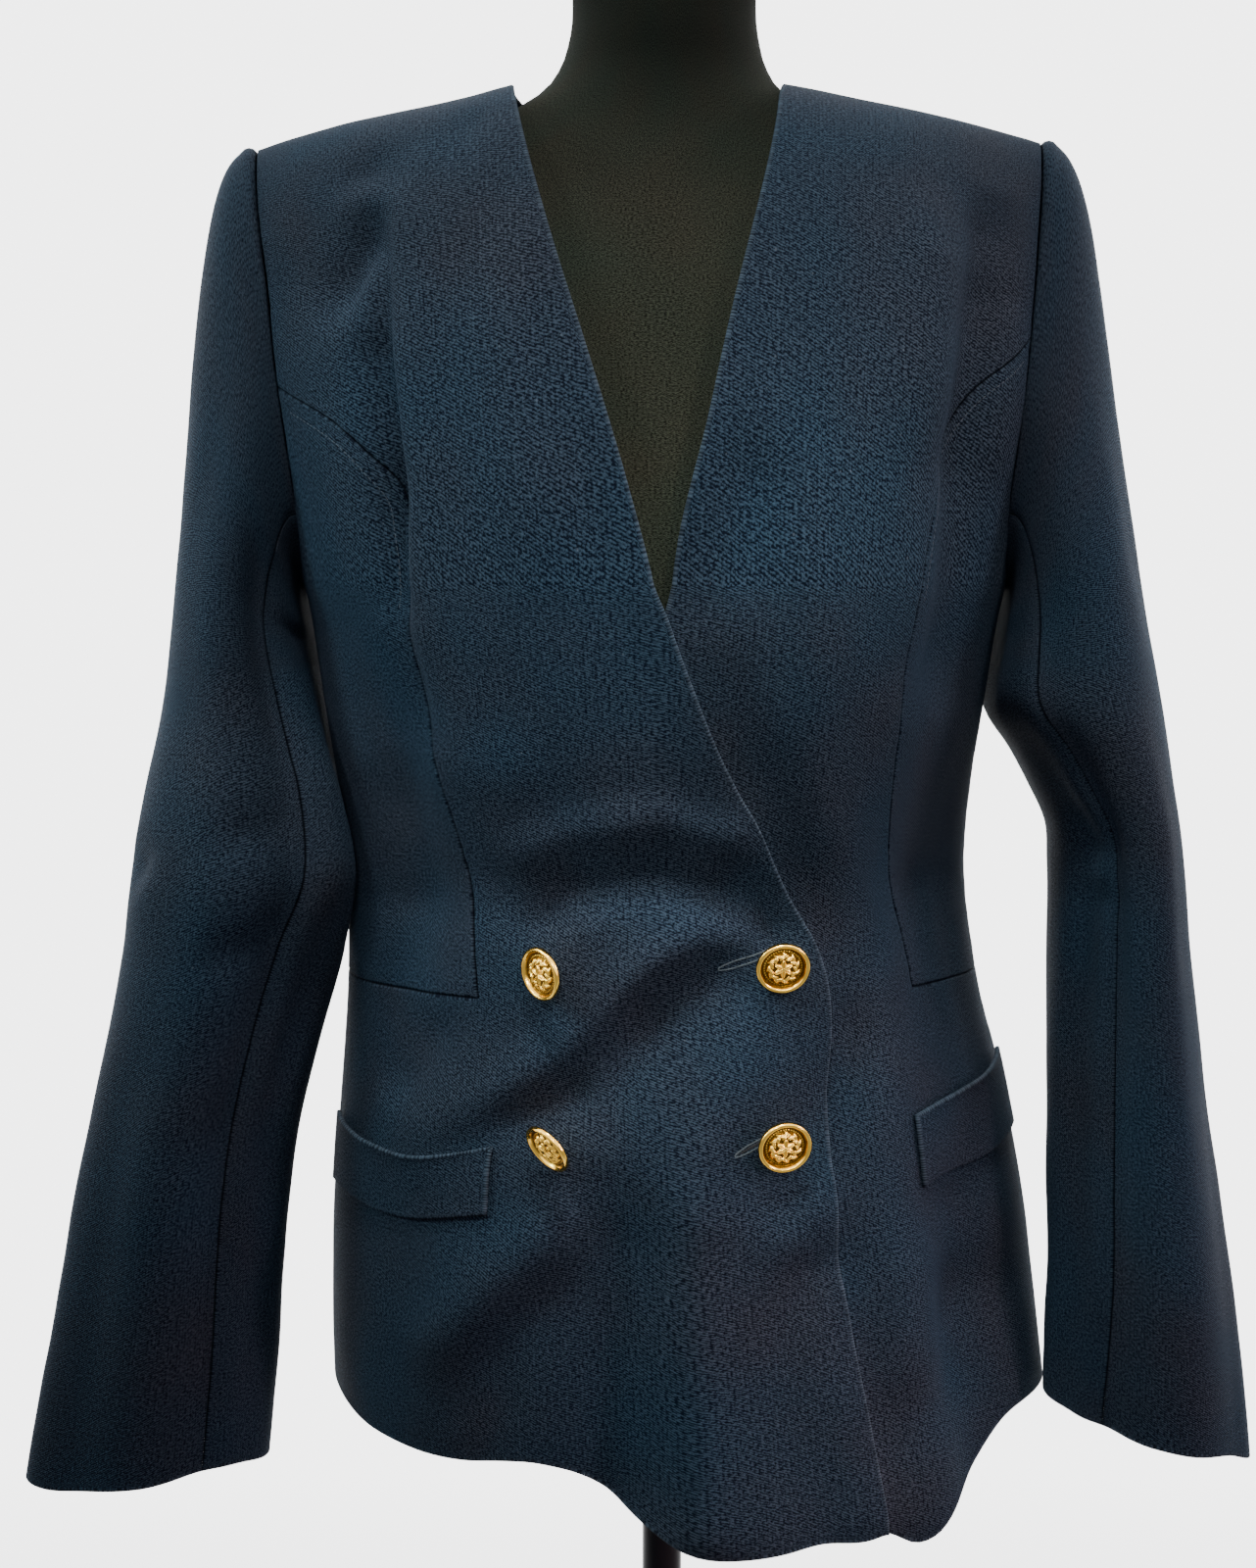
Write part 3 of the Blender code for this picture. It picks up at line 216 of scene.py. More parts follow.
# Creases of the front: half spread, then X, level and push of each point along the crease, in mm.
CREASES = (
    (11, (-72, 976, 0), (-63, 988, -4), (-44, 1003, -7.5), (-4, 1010, -9), (26, 1002, -8.5), (50, 986, -5),
     (60, 976, 0)),                                                     # arch over the upper buttons
    (12, (-84, 1012, 0), (-70, 1022, 3.5), (-42, 1034, 6.5), (-4, 1040, 7.5), (30, 1031, 6.5),
     (48, 1016, 3.5), (58, 1004, 0)),
    (20, (-140, 1000, 0), (-120, 1004, -4), (-80, 1006, -4.5), (-60, 1004, -2)),
    (22, (-130, 1062, 0), (-110, 1062, 3.5), (-70, 1062, 3.5), (-50, 1060, 0)),
    (11, (50, 990, 0), (40, 988, 5), (14, 984, 8), (-8, 972, 8.5), (-27, 952, 8.5), (-52, 928, 7.5),
     (-84, 907, 5), (-118, 887, 2)),                                    # pull down to the lower inner button
    (12, (48, 966, 0), (36, 963, -4), (16, 955, -6.5), (-4, 940, -7.5), (-18, 920, -7), (-28, 896, -4),
     (-34, 880, 0)),
    (12, (-30, 911, -2), (-44, 907, -8), (-62, 898, -7), (-92, 884, -2), (-110, 878, 0)),
    (12, (-140, 898, 0), (-130, 908, -4.5), (-110, 932, -4.5), (-86, 955, 0)),
    (20, (46, 948, 3), (34, 920, 7), (18, 888, 8), (10, 868, 5)),             # fullness between the buttons
    (15, (88, 932, -4), (78, 910, -7), (68, 884, -6), (52, 858, -3), (42, 846, 0)),
    (15, (12, 876, 2), (12, 850, 7), (12, 797, 8), (15, 750, 8.5), (17, 705, 8.5)),
    (22, (-16, 858, -2), (-20, 838, -6.5), (-24, 782, -7.5), (-25, 720, -7)),
    (15, (-44, 858, 2), (-54, 845, 8.5), (-78, 819, 8.5), (-106, 789, 6.5), (-124, 772, 0)),
    (15, (-48, 832, 0), (-60, 816, -3.6), (-83, 781, -3.6), (-104, 742, -1.8)),
    (12, (82, 872, 0), (70, 858, 3.7), (56, 842, 3.7), (44, 828, 0)),
    (12, (80, 830, -2.9), (68, 824, -3.6), (57, 806, -3.1), (50, 765, -1.2)),
    (15, (72, 800, 1.6), (80, 764, 4.7), (92, 712, 5.3)),
    (18, (106, 990, 1.6), (108, 960, 3.7), (109, 885, 4.7), (114, 779, 4.7)),
    (20, (146, 872, -1.2), (148, 850, -4.8), (152, 771, -4.8)),
    (11, (-168, 1236, 0), (-157, 1250, -9), (-145, 1268, -10), (-135, 1290, 0)),      # hollow by the armhole
    (11, (-160, 1276, 0), (-148, 1292, 3.5), (-134, 1308, 0)),
    (11, (-130, 1258, 2), (-126, 1275, 5), (-120, 1305, 2)),
    (9, (-156, 1294, 0), (-146, 1308, -2.6), (-130, 1330, 0)),
    (6.5, (-130, 1284, 0), (-133, 1262, -5), (-135, 1222, -9), (-130, 1194, -9.5), (-125, 1150, -7.5),
     (-122, 1124, -5), (-116, 1096, -4), (-108, 1070, 0)),              # down the right princess seam
    (9, (-115, 1270, 0), (-118, 1225, 2.5), (-113, 1169, 2), (-111, 1140, 0)),
    (10, (-88, 1348, 0), (-94, 1328, -2.6), (-101, 1296, 0)),
    (10, (-75, 1318, 0), (-78, 1288, -2.2), (-80, 1258, 0)),
    (12, (-82, 1292, 0), (-90, 1258, -2.6), (-98, 1220, 0)),
    (20, (-66, 1275, 0), (-74, 1225, 3.7), (-58, 1172, 3.4), (-50, 1140, 0)),
    (14, (-166, 1156, 0), (-158, 1130, -3.6), (-147, 1096, -3.6), (-140, 1070, 0)),
    (18, (130, 1300, 0), (124, 1260, 6), (117, 1210, 5), (112, 1180, 0)),
    (14, (46, 1192, 0), (38, 1178, -5), (25, 1156, -5), (12, 1126, 0)),
    (17, (66, 1190, 0), (66, 1150, 5.5), (66, 1090, 6), (68, 1030, 3), (68, 1010, 0)),
    (13, (160, 1304, 0), (155, 1278, -7), (148, 1232, -9), (145, 1180, -9), (143, 1120, -7), (143, 1084, 0)),
    (24, (118, 1200, 0), (118, 1150, -1), (116, 1090, -2), (114, 1040, -6), (114, 1000, -8), (118, 950, -8),
     (122, 900, -7), (126, 830, -7), (134, 760, -5)),                   # left side, turned away
    (22, (150, 1190, -2), (148, 1100, -5), (142, 1030, -8), (142, 1000, -9), (148, 950, -8), (154, 880, -8),
     (158, 800, -6)),
    (20, (-122, 1130, 0), (-124, 1090, -5), (-122, 1040, -6), (-120, 990, -5), (-122, 950, 0)),
    (17, (-136, 1120, -2), (-130, 1050, -4), (-128, 1000, -5), (-132, 940, -3), (-138, 900, 0)),
    (50, (-140, 690, -9), (-50, 690, -9)),                              # hem, in on the right, out on the left
    (45, (50, 690, 9), (92, 690, 9)),
    (10, (-150, 1060, 0), (-136, 1046, -2.4), (-118, 1034, 0)),
    (9, (-152, 1002, 0), (-134, 995, -2.4), (-114, 988, 0)),
    (9, (150, 1012, 0), (136, 1004, -2.2), (120, 998, 0)),
    (10, (-66, 790, 0), (-78, 760, -2.4), (-92, 722, -1.7)),
)
BACK_CREASES = (
    (10, (-98, 1012, 0), (-60, 1004, -2.3), (-18, 1000, 0)),
    (10, (12, 1012, 0), (50, 1008, -2.3), (94, 1004, 0)),
    (9, (-72, 964, 0), (0, 956, 2), (66, 960, 0)),
    (16, (-30, 1300, 0), (-26, 1240, -2.1), (-20, 1170, 0)),
    (16, (34, 1290, 0), (28, 1230, -2.1), (22, 1160, 0)),
    (11, (-152, 1272, 0), (-136, 1250, -2.6), (-116, 1226, 0)),
    (11, (150, 1268, 0), (134, 1248, -2.6), (114, 1224, 0)),
    (15, (-20, 910, 0), (-24, 850, 2.6), (-28, 740, 2.6)),
    (15, (24, 910, 0), (27, 850, -2.6), (30, 740, -2.6)),
)

# Creases of the sleeves: half spread, then station, mm down the sleeve, and push.
SLEEVE_CREASES = {
    RIGHT: (
        (15, (158, 330, 0), (148, 344, -4), (140, 356, 0)),
        (15, (110, 40, 0), (116, 120, -2.4), (126, 240, 0)),
        (12, (92, 110, 0), (88, 180, 1.6), (84, 260, 0)),
        (11, (62, 314, 0), (86, 328, -3.4), (108, 342, 0)),
        (12, (56, 368, 0), (82, 384, -4), (108, 396, 0)),
        (17, (66, 110, 0), (66, 190, -9), (64, 290, -9), (64, 350, -9), (62, 410, -12), (62, 470, -12),
         (60, 600, -8), (60, 655, -6)),
        (17, (34, 190, -4), (32, 290, -2), (32, 350, -2), (32, 410, -8), (32, 470, -8), (32, 655, -4)),
        (14, (98, 150, 0), (98, 240, 3), (96, 400, 3), (94, 480, 0)),
        (16, (98, 410, 0), (96, 470, 2.6), (92, 655, 3)),
        (16, (128, 420, 0), (127, 480, -2.8), (124, 655, -3)),
        (14, (160, 430, 0), (162, 520, 2), (160, 655, 2)),
        (12, (200, 384, 0), (224, 364, -2.4), (248, 348, 0)),
        (12, (208, 434, 0), (232, 414, -2.2), (256, 392, 0)),
    ),
    LEFT: (
        (16, (104, 160, 0), (106, 280, 4), (108, 655, 4)),
        (17, (66, 110, 0), (66, 200, -4), (66, 265, -4), (64, 330, -11), (64, 400, -12), (62, 655, -8)),
        (17, (34, 190, -1), (34, 265, -1), (32, 330, -8), (32, 400, -9), (32, 655, -5)),
        (16, (138, 80, 0), (145, 190, -2.2), (152, 320, 0)),
        (11, (14, 334, 0), (42, 344, -3), (70, 352, 0)),
        (10, (18, 378, 0), (46, 372, -2.6), (76, 364, 0)),
        (15, (150, 420, 0), (148, 520, -2.2), (146, 655, -2.2)),
        (12, (200, 376, 0), (228, 358, -2.4), (254, 342, 0)),
        (12, (208, 430, 0), (236, 410, -2.2), (262, 388, 0)),
    ),
}
CAP_RUN, ARM_RUN = 250.0, 405.0          # mm down the sleeve of its head and of the rest


# Sleeves, as they hang: X of the outer and inner edges, middle and half depth in Y.
SLEEVE_COLUMNS = "level outer inner middle half_depth squareness"
SLEEVE_RIGHT = Table(
    SLEEVE_COLUMNS,
    (690, -324.3, -204, -46, 34, 2.1), (728, -317.3, -200, -45, 37, 2.1), (768, -308.6, -196, -44, 41, 2.1),
    (808, -300.7, -193.5, -43, 44, 2.1), (848, -293.6, -189.5, -42, 47, 2.1),
    (888, -285.8, -183, -40, 49, 2.1), (927, -278, -173, -38, 51, 2.1), (967, -270.2, -160, -37, 53, 2.1),
    (1007, -265.4, -146, -33, 57, 2.25), (1047, -259.6, -150, -22, 61, 2.3),
    (1087, -252.6, -164, -9, 64, 2.25), (1127, -247.5, -176, -2, 67, 2.3), (1167, -245, -183, 0, 68, 2.3),
)
SLEEVE_LEFT = Table(
    SLEEVE_COLUMNS,
    (690, 296.5, 187, -57, 38, 2.1), (728, 293.3, 188, -56, 41, 2.1), (768, 288.9, 191.5, -54, 46, 2.1),
    (808, 283.8, 194.5, -50, 51, 2.1), (848, 278.2, 195, -44, 55, 2.1), (888, 272.3, 196, -38, 58, 2.1),
    (927, 267.8, 196.5, -33, 61, 2.1), (967, 262.5, 197.3, -28, 64, 2.15), (1007, 259.3, 198.2, -22, 66, 2.2),
    (1027, 257.6, 197.3, -18.5, 66.5, 2.22), (1047, 255.6, 188.6, -15, 67, 2.25),
    (1067, 253.4, 178, -11.5, 67.5, 2.28), (1087, 250.8, 164, -9, 68, 2.35), (1127, 244, 166, -4, 68, 2.35),
    (1167, 238, 180, 0, 68, 2.3),
)
# Level of the cuff's edge round the arm.
CUFF_RIGHT = Table(
    "station level",
    (0, 708), (45, 708.5), (90, 703.5), (135, 697.5), (180, 699.5), (225, 701), (270, 705), (315, 708),
    (360, 708),
)
CUFF_LEFT = Table(
    "station level",
    (0, 747), (45, 739.5), (90, 729.5), (135, 721.5), (180, 711.5), (225, 718), (270, 729), (315, 741),
    (360, 747),
)
# How the sleeve leaves the armhole: outward, forward and up, how straight it then drops, and how far it is
# drawn in halfway down its head.
CAP = Table(
    "station outward forward upward drop draw",
    (0, 24, 0, 16, 40, 0), (30, 28, 6, 12, 60, 0), (60, 38, 14, 8, 120, 0), (90, 50, 22, 6, 190, 1),
    (135, 80, 16, 11, 270, 2.5), (180, 114, 0, 17, 330, 3.5), (225, 80, -10, 11, 270, 2.5),
    (270, 50, -14, 6, 190, 1), (300, 38, -8, 8, 120, 0), (330, 28, -3, 12, 60, 0), (360, 24, 0, 16, 40, 0),
)
HEAD_DRAW = {RIGHT: 0.3, LEFT: 1.0}      # share of that draw on each side
BICEP_LEVEL = 1108.0
SLEEVE_CLEARANCE = 4.5       # from the middle of the body's cloth to the middle of the sleeve's

# Pocket welts: level of the sewn lower edge and of the free upper edge, and how far the latter gapes.
WELT_RIGHT = Table(
    "turn lower upper gape",
    (14, 849, 884, 0.3), (24, 847.7, 881, 2.5), (35, 845, 878.2, 5.0), (46, 844.8, 877, 4.5),
    (56, 848.7, 880, 2.0), (62, 851.5, 883, 0.3),
)
WELT_LEFT = Table(
    "turn lower upper gape",
    (8, 874, 913, 1.0), (20, 869, 906, 3.5), (31, 865, 902, 4.0), (42, 862.4, 898, 3.0),
    (49, 859, 894.5, 0.3),
)
# Buttons: place on the body, and the way each tilted face looks, to the left (+) and down (+), in degrees.
BUTTON_COLUMNS = "name across level yaw pitch".split()
BUTTONS = (
    ("button_inner_upper", -56.5, 967.6, -48, 8),
    ("button_outer_upper", 53.4, 968.6, 6, 18),
    ("button_inner_lower", -53.5, 886.5, -50, 30),
    ("button_outer_lower", 53.8, 886.5, 12, 14),
)
# The dress form's cross-sections.
FORM = Table(
    "level half_width front back squareness shift",
    (775, 147, 96, 97, 2.2, 4), (783, 151, 99, 100, 2.2, 4), (800, 157, 104, 104, 2.2, 4),
    (850, 161, 110, 104, 2.2, 4), (900, 151, 103, 90, 2.2, 2), (950, 136, 94, 76, 2.2, 0),
    (1000, 125, 92, 68, 2.2, -2), (1050, 132, 100, 72, 2.2, -3), (1100, 146, 110, 80, 2.25, -4),
    (1150, 155, 119, 90, 2.3, -4), (1200, 158, 113, 95, 2.3, -4),
    (1250, 162, 101, 93, 2.3, -5), (1290, 163, 86, 82, 2.3, -6), (1320, 161, 70, 70, 2.3, -7),
    (1345, 142, 57, 60, 2.2, -6), (1362, 112, 51, 56, 2.15, -5), (1376, 88, 47, 53, 2.1, -2.5),
    (1386, 72, 45, 51, 2.1, -1.5), (1394, 60, 44, 49, 2.05, -1), (1404, 52.5, 43.5, 47, 2.0, -0.5),
    (1420, 47.3, 44, 46, 2.0, 0), (1450, 45.8, 43, 46, 2.0, 0), (1493, 45.8, 42, 47, 2.0, 0),
    (1500, 45, 41, 46, 2.0, 0),
)
FORM_SEGMENTS = 128
FORM_ROWS = (792.0, 1494.0, 6.0)         # even rows between the closer ones that round the two ends
FORM_LOWER_ROWS = (775.0, 775.6, 777.5, 781.0, 786.0)
FORM_UPPER_ROWS = (1495.0, 1498.4, 1499.7, 1500.0)
FORM_LOWER_END, FORM_UPPER_END = (11.0, 0.05), (6.0, 0.06)       # height of that rounding, and its trim


def smooth_step(value, low, high):
    t = np.clip((value - low) / (high - low), 0, 1)
    return t * t * (3 - 2 * t)


def fold_depth(across, level, folds):
    """Push of all the soft folds at a place, in mm out of the surface."""
    total = np.zeros(np.broadcast(across, level).shape)
    for row in folds:
        fold = dict(zip(FOLD_COLUMNS, row))
        run = fold["to_across"] - fold["from_across"]
        rise = fold["to_level"] - fold["from_level"]
        along = (across - fold["from_across"]) * run + (level - fold["from_level"]) * rise
        along = np.clip(along / (run * run + rise * rise), 0, 1)
        gap_x = across - fold["from_across"] - along * run
        gap_z = level - fold["from_level"] - along * rise
        total = total + fold["depth"] * np.exp(-(gap_x ** 2 + gap_z ** 2) / fold["spread"] ** 2)
    return total


def crease_push(across, level, creases):
    """Push of all the fine creases at a place: each follows a bent line and fades away from it."""
    total = np.zeros(np.broadcast(across, level).shape)
    for spread, *line in creases:
        nearest, push = np.full(total.shape, np.inf), np.zeros(total.shape)
        for (x0, z0, push0), (x1, z1, push1) in zip(line, line[1:]):
            run, rise = x1 - x0, z1 - z0
            along = ((across - x0) * run + (level - z0) * rise) / (run * run + rise * rise)
            along = np.clip(along, 0, 1)
            gap = (across - x0 - along * run) ** 2 + (level - z0 - along * rise) ** 2
            closer = gap < nearest
            push = np.where(closer, push0 + (push1 - push0) * along, push)
            nearest = np.where(closer, gap, nearest)
        total = total + push * np.exp(-nearest / spread ** 2)
    return total


def body_point(turn, level, creased=True):
    """Middle of the body's cloth at a place, with the fine creases or as the part's own source has it."""
    turn, level = np.broadcast_arrays(np.asarray(turn, float), np.asarray(level, float))
    angle = np.radians(turn)
    power = 2 / TORSO("squareness", level)
    is_front = np.sin(angle) >= 0
    start = np.where(is_front, BUST_LEVEL, BLADE_LEVEL)
    low = np.minimum(level, start)
    across = np.sign(np.cos(angle)) * np.abs(np.cos(angle)) ** power
    x = TORSO("shift", level) - TORSO("half_width", level) * across
    depth = np.where(is_front, -TORSO("front", low), TORSO("back", low)) * np.abs(np.sin(angle)) ** power
    roll = np.clip((level - start) / (RIDGE_LEVEL - start), 0, 1) * math.pi / 2
    upright = np.clip(np.cos(roll), 0, 1) ** (2 / ROLL_POWER)
    ridge = SHOULDER("height", np.abs(x - SHOULDER_CENTRE)) + SHOULDER_LEAN * x
    y = depth * upright + SEAM_Y * (1 - upright)
    z = low + (ridge - low) * np.sin(roll) ** (2 / ROLL_POWER)
    push = np.where(is_front, fold_depth(x, level, FOLDS), fold_depth(x, level, BACK_FOLDS))
    if creased:
        push = push + np.where(is_front, crease_push(x, level, CREASES), crease_push(x, level, BACK_CREASES))
    push = push * smooth_step(np.abs(y), 0, 45)
    x = x - push * np.cos(angle)
    y = y - push * np.sin(angle)
    return np.stack([x, y, z], axis=-1)


def unit(vectors):
    return vectors / np.linalg.norm(vectors, axis=-1, keepdims=True)


def body_surface(turn, level, creased=True):
    """Points of the body's cloth and their outward normals."""
    step = 0.25
    up = np.minimum(level + step, RIDGE_LEVEL)
    down = np.minimum(level, RIDGE_LEVEL) - step
    around = body_point(turn + step, level, creased) - body_point(turn - step, level, creased)
    upward = body_point(turn, up, creased) - body_point(turn, down, creased)
    return body_point(turn, level, creased), unit(np.cross(around, upward))


def side_turn(side, turn):
    """A turn counted from the wearer's own side, as a turn of the whole body."""
    return turn if side == RIGHT else (180 - turn) % 360


def turn_at(across, level):
    """Turn of the front place with this X at this level."""
    reach = (TORSO("shift", level) - across) / TORSO("half_width", level)
    cosine = np.sign(reach) * np.abs(np.clip(reach, -1, 1)) ** (TORSO("squareness", level) / 2)
    return np.degrees(np.arccos(cosine))


def armhole(side, station):
    """Turn and level of the armhole at a station, 0 to 360 round the arm through the front."""
    if station <= 180:
        return side_turn(side, float(ARMHOLE_FRONT("turn", station))), float(ARMHOLE_FRONT("level", station))
    turn = (360 - float(ARMHOLE_BACK("turn", 360 - station))) % 360
    return side_turn(side, turn), float(ARMHOLE_BACK("level", 360 - station))


def free_edge(side, level):
    """Turn and level of a front's free edge: front edge below, neckline above."""
    edge = EDGE_RIGHT if side == RIGHT else EDGE_LEFT
    return float(turn_at(edge("across", level), level)), level


def princess(side, share):
    table = PRINCESS_RIGHT if side == RIGHT else PRINCESS_LEFT
    return side_turn(side, float(table("turn", share))), float(table("level", share))


def hem_level(side, turn):
    """Level of the front hem at a turn."""
    table = HEM_RIGHT if side == RIGHT else HEM_LEFT
    level = HEM_GUESS
    for _ in range(HEM_ROUNDS):
        level = float(table("level", body_point(turn, level)[0]))
    return level


def blend(start, end, count):
    """Even steps from start to end, both ends included."""
    return [start + (end - start) * k / count for k in range(count + 1)]


def coons(bottom, top, left, right):
    """Grid of places inside four edges. Each edge is a list of (turn, level); returns rows of places."""
    bottom, top, left, right = (np.array(edge, dtype=float) for edge in (bottom, top, left, right))
    columns, rows = len(bottom) - 1, len(left) - 1
    u = np.linspace(0, 1, columns + 1)[None, :, None]
    v = np.linspace(0, 1, rows + 1)[:, None, None]
    edges = (1 - v) * bottom[None] + v * top[None] + (1 - u) * left[:, None] + u * right[:, None]
    corners = ((1 - u) * (1 - v) * bottom[0] + u * (1 - v) * bottom[-1]
               + (1 - u) * v * top[0] + u * v * top[-1])
    return edges - corners


def under_lap(points, level):
    """The under front lies below the top one, and comes up to the common surface beyond its edge."""
    beyond = points[:, 0] - EDGE_RIGHT("across", level)
    depth = LAP_HIDDEN + (LAP_DEPTH - LAP_HIDDEN) * smooth_step(beyond, *LAP_DEEPENS)
    return -depth * (1 - smooth_step(beyond, LAP_NEAR, LAP_FAR))


def edge_roll(points, level):
    """The top front's edge stands off a little, most beside the lower part of the neckline."""
    inside = EDGE_RIGHT("across", level) - points[:, 0]
    share = smooth_step(level, *ROLL_RISES) * (1 - smooth_step(level, *ROLL_FALLS))
    roll = (ROLL + ROLL_MORE * share) * (1 - smooth_step(inside, 0, ROLL_REACH))
    return roll * smooth_step(level, *ROLL_STARTS)


def clear_of_body(side, x, y, level):
    """Keep a hanging sleeve outside the body's cloth."""
    level = np.clip(level, CLEARED_FROM, BUST_LEVEL)
    depth = np.where(y < 0, TORSO("front", level), TORSO("back", level))
    power = TORSO("squareness", level)
    inside = np.clip(1 - np.abs(y / depth) ** power, 0, 1) ** (1 / power)
    limit = side * TORSO("shift", level) + TORSO("half_width", level) * inside + SLEEVE_CLEARANCE
    out = side * x
    softness = 4.0
    return side * 0.5 * (out + limit + np.sqrt((out - limit) ** 2 + softness ** 2))


def tube_point(side, station, level):
    """Point of the hanging sleeve below the arm."""
    table = SLEEVE_RIGHT if side == RIGHT else SLEEVE_LEFT
    angle = np.radians(station)
    power = 2 / table("squareness", level)
    inner, outer = table("inner", level), table("outer", level)
    across = np.sign(np.cos(angle)) * np.abs(np.cos(angle)) ** power
    around = np.sign(np.sin(angle)) * np.abs(np.sin(angle)) ** power
    x = (inner + outer) / 2 + (inner - outer) / 2 * across
    y = table("middle", level) - table("half_depth", level) * around
    return np.stack([clear_of_body(side, x, y, level), y, level + 0 * x], axis=-1)


def sleeve_point(side, station, drop):
    """Point of the sleeve: drop 0 to 1 is the cap, 1 to 2 the arm down to the cuff."""
    station, drop = np.broadcast_arrays(np.asarray(station, float), np.asarray(drop, float))
    station = station % 360
    cuff = (CUFF_RIGHT if side == RIGHT else CUFF_LEFT)("level", station)
    arm_share = np.clip(drop - 1, 0, 1)
    arm = tube_point(side, station, BICEP_LEVEL + (cuff - BICEP_LEVEL) * arm_share)

    front = station <= 180
    near = np.where(front, station, 360 - station)
    turn = np.where(front, ARMHOLE_FRONT("turn", near), (360 - ARMHOLE_BACK("turn", near)) % 360)
    level = np.where(front, ARMHOLE_FRONT("level", near), ARMHOLE_BACK("level", near))
    start = body_point(side_turn(side, turn), level)
    outward, forward, upward = (CAP(column, station) for column in ("outward", "forward", "upward"))
    leave = np.stack([side * outward, -forward, upward], axis=-1)
    below = 2.0
    ring = tube_point(side, station, BICEP_LEVEL)
    fall = unit(tube_point(side, station, BICEP_LEVEL - below) - ring) * CAP("drop", station)[..., None]
    t = np.clip(drop, 0, 1)[..., None]
    cap = (start * (1 + 2 * t) * (1 - t) ** 2 + leave * t * (1 - t) ** 2
           + ring * t * t * (3 - 2 * t) - fall * t * t * (1 - t))
    cap[..., 0] -= side * HEAD_DRAW[side] * CAP("draw", station) * 16 * (t * (1 - t))[..., 0] ** 2
    return np.where((drop <= 1)[..., None], cap, arm)


def sleeve_surface(side, station, drop):
    """Points of the sleeve's cloth and their outward normals."""
    station_step, drop_step = 0.25, 0.002
    ahead = sleeve_point(side, station + station_step, drop)
    behind = sleeve_point(side, station - station_step, drop)
    lower = sleeve_point(side, station, np.minimum(drop + drop_step, 2))
    upper = sleeve_point(side, station, np.maximum(drop - drop_step, 0))
    normals = unit(np.cross(ahead - behind, lower - upper)) * -side
    return sleeve_point(side, station, drop), normals


def armhole_insets(side, stations):
    """Room that the sleeve's first ring leaves to the body's edge, more where the two meet at a corner."""
    first_drop = 0.02            # where the way that the sleeve leaves the armhole is taken
    insets = []
    for station in stations:
        station = station % 360
        turn, level = armhole(side, station)
        _, normal = body_surface(np.array(turn), np.array(level))
        ahead = body_point(*armhole(side, min(station + 1, 180) if station <= 180 else (station + 1) % 360))
        behind = body_point(*armhole(side, max(station - 1, 0) if station <= 180 else station - 1))
        edge = unit(np.cross(ahead - behind, normal))
        leave = unit(sleeve_point(side, station, first_drop) - sleeve_point(side, station, 0.0))
        corner = float(np.linalg.norm(np.cross(edge, leave)))
        insets.append(ARMHOLE_GAP + (CLOTH / 2 + ARMHOLE_GAP) * min(corner, 1.0))
    return insets


# ---- Mesh helpers ----

def link(name, mesh, finish, staged=False):
    """New piece that rides on the part's one body, or a piece of the studio."""
    mesh.materials.append(finish)
    piece = bpy.data.objects.new(name, mesh)
    bpy.context.scene.collection.objects.link(piece)
    if staged:
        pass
    else:
        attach(piece, "root")
    return piece


def smooth_mesh(name, vertices, faces):
    """Smooth shaded mesh from points in mm."""
    mesh = bpy.data.meshes.new(name)
    mesh.from_pydata((np.asarray(vertices) * MM).tolist(), [], faces)
    mesh.update()
    mesh.shade_smooth()
    return mesh


def store(mesh, name, values):
    """Named value for each point, for the materials to read."""
    values = np.asarray(values, np.float32)
    kind = "FLOAT_VECTOR" if values.ndim == 2 else "FLOAT"
    layer = mesh.attributes.new(name, kind, "POINT")
    layer.data.foreach_set("vector" if values.ndim == 2 else "value", values.ravel())


def strip_faces(starts, ends, low, high):
    """Quads between two rings of the same edges; low and high give each ring's indices."""
    return np.stack([low[ends], low[starts], high[starts], high[ends]], axis=1).tolist()


def full_turn(count):
    """Even angles all the way round, in radians."""
    return np.arange(count) * 2 * math.pi / count


def circle(radius, height, angles):
    """Points round Z; the height is one number or one for each point."""
    return np.stack([radius * np.cos(angles), radius * np.sin(angles), 0 * angles + height], axis=1)


def tube_faces(segments, rings, first=0):
    """Quads of a tube of rings from the bottom up, whose first point has this index."""
    around = np.arange(segments)
    after = (around + 1) % segments
    faces = []
    for k in range(rings - 1):
        low, high = first + k * segments, first + (k + 1) * segments
        faces += np.stack([low + around, low + after, high + after, high + around], axis=1).tolist()
    return faces


# Rim of a cloth wall from its outer skin over the edge to its inner skin: distance in from the edge, and
# height in thicknesses. A sewn edge sinks into the seam; a free edge is a turned fold with a slight bead.
# Both reach the very edge at the same step, so that a seam stays closed right down to a cuff or a hem.
SEWN_RIM = (
    (1.5, 0.5), (1.0, 0.45), (0.62, 0.32), (0.3, 0.1), (0.0, -0.2), (0.08, -0.34), (0.3, -0.5), (1.5, -0.5),
)
FREE_RIM = (
    (2.2, 0.5), (1.5, 0.53), (0.8, 0.5), (0.25, 0.3), (0.0, 0.0), (0.25, -0.3), (0.8, -0.5), (2.2, -0.5),
)
# A free edge's turned fold is painted lighter: partly wear of its yarns, partly a painted sheen.
FREE_WEAR_AND_SHEEN = (0.0, 0.5, 1.0, 1.0, 0.5, 0.0, 0.0, 0.0)       # how much the turned fold's yarns catch the light
SEAM_SHADE = 2.2             # how fast a sewn rim darkens as it sinks
MOST_CELL_SHARE = 0.8        # a rim takes at most this share of the cells beside it
EDGE_SHARE = 1.4             # and counts the edge's own length as this much longer
LEAST_MITRE = 0.35           # keeps the way inward short at a sharp corner
PUCKER, PUCKER_RUN, PUCKER_REACH = 0.34, 8.0, 7.0
SWELL, SWELL_RUN = 0.55, 62              # broad unevenness: its share, and its run in mm
RIPPLE, RIPPLE_RUN, RIPPLE_SHIFT = 0.3, 27, Vector((7, 3, 5))


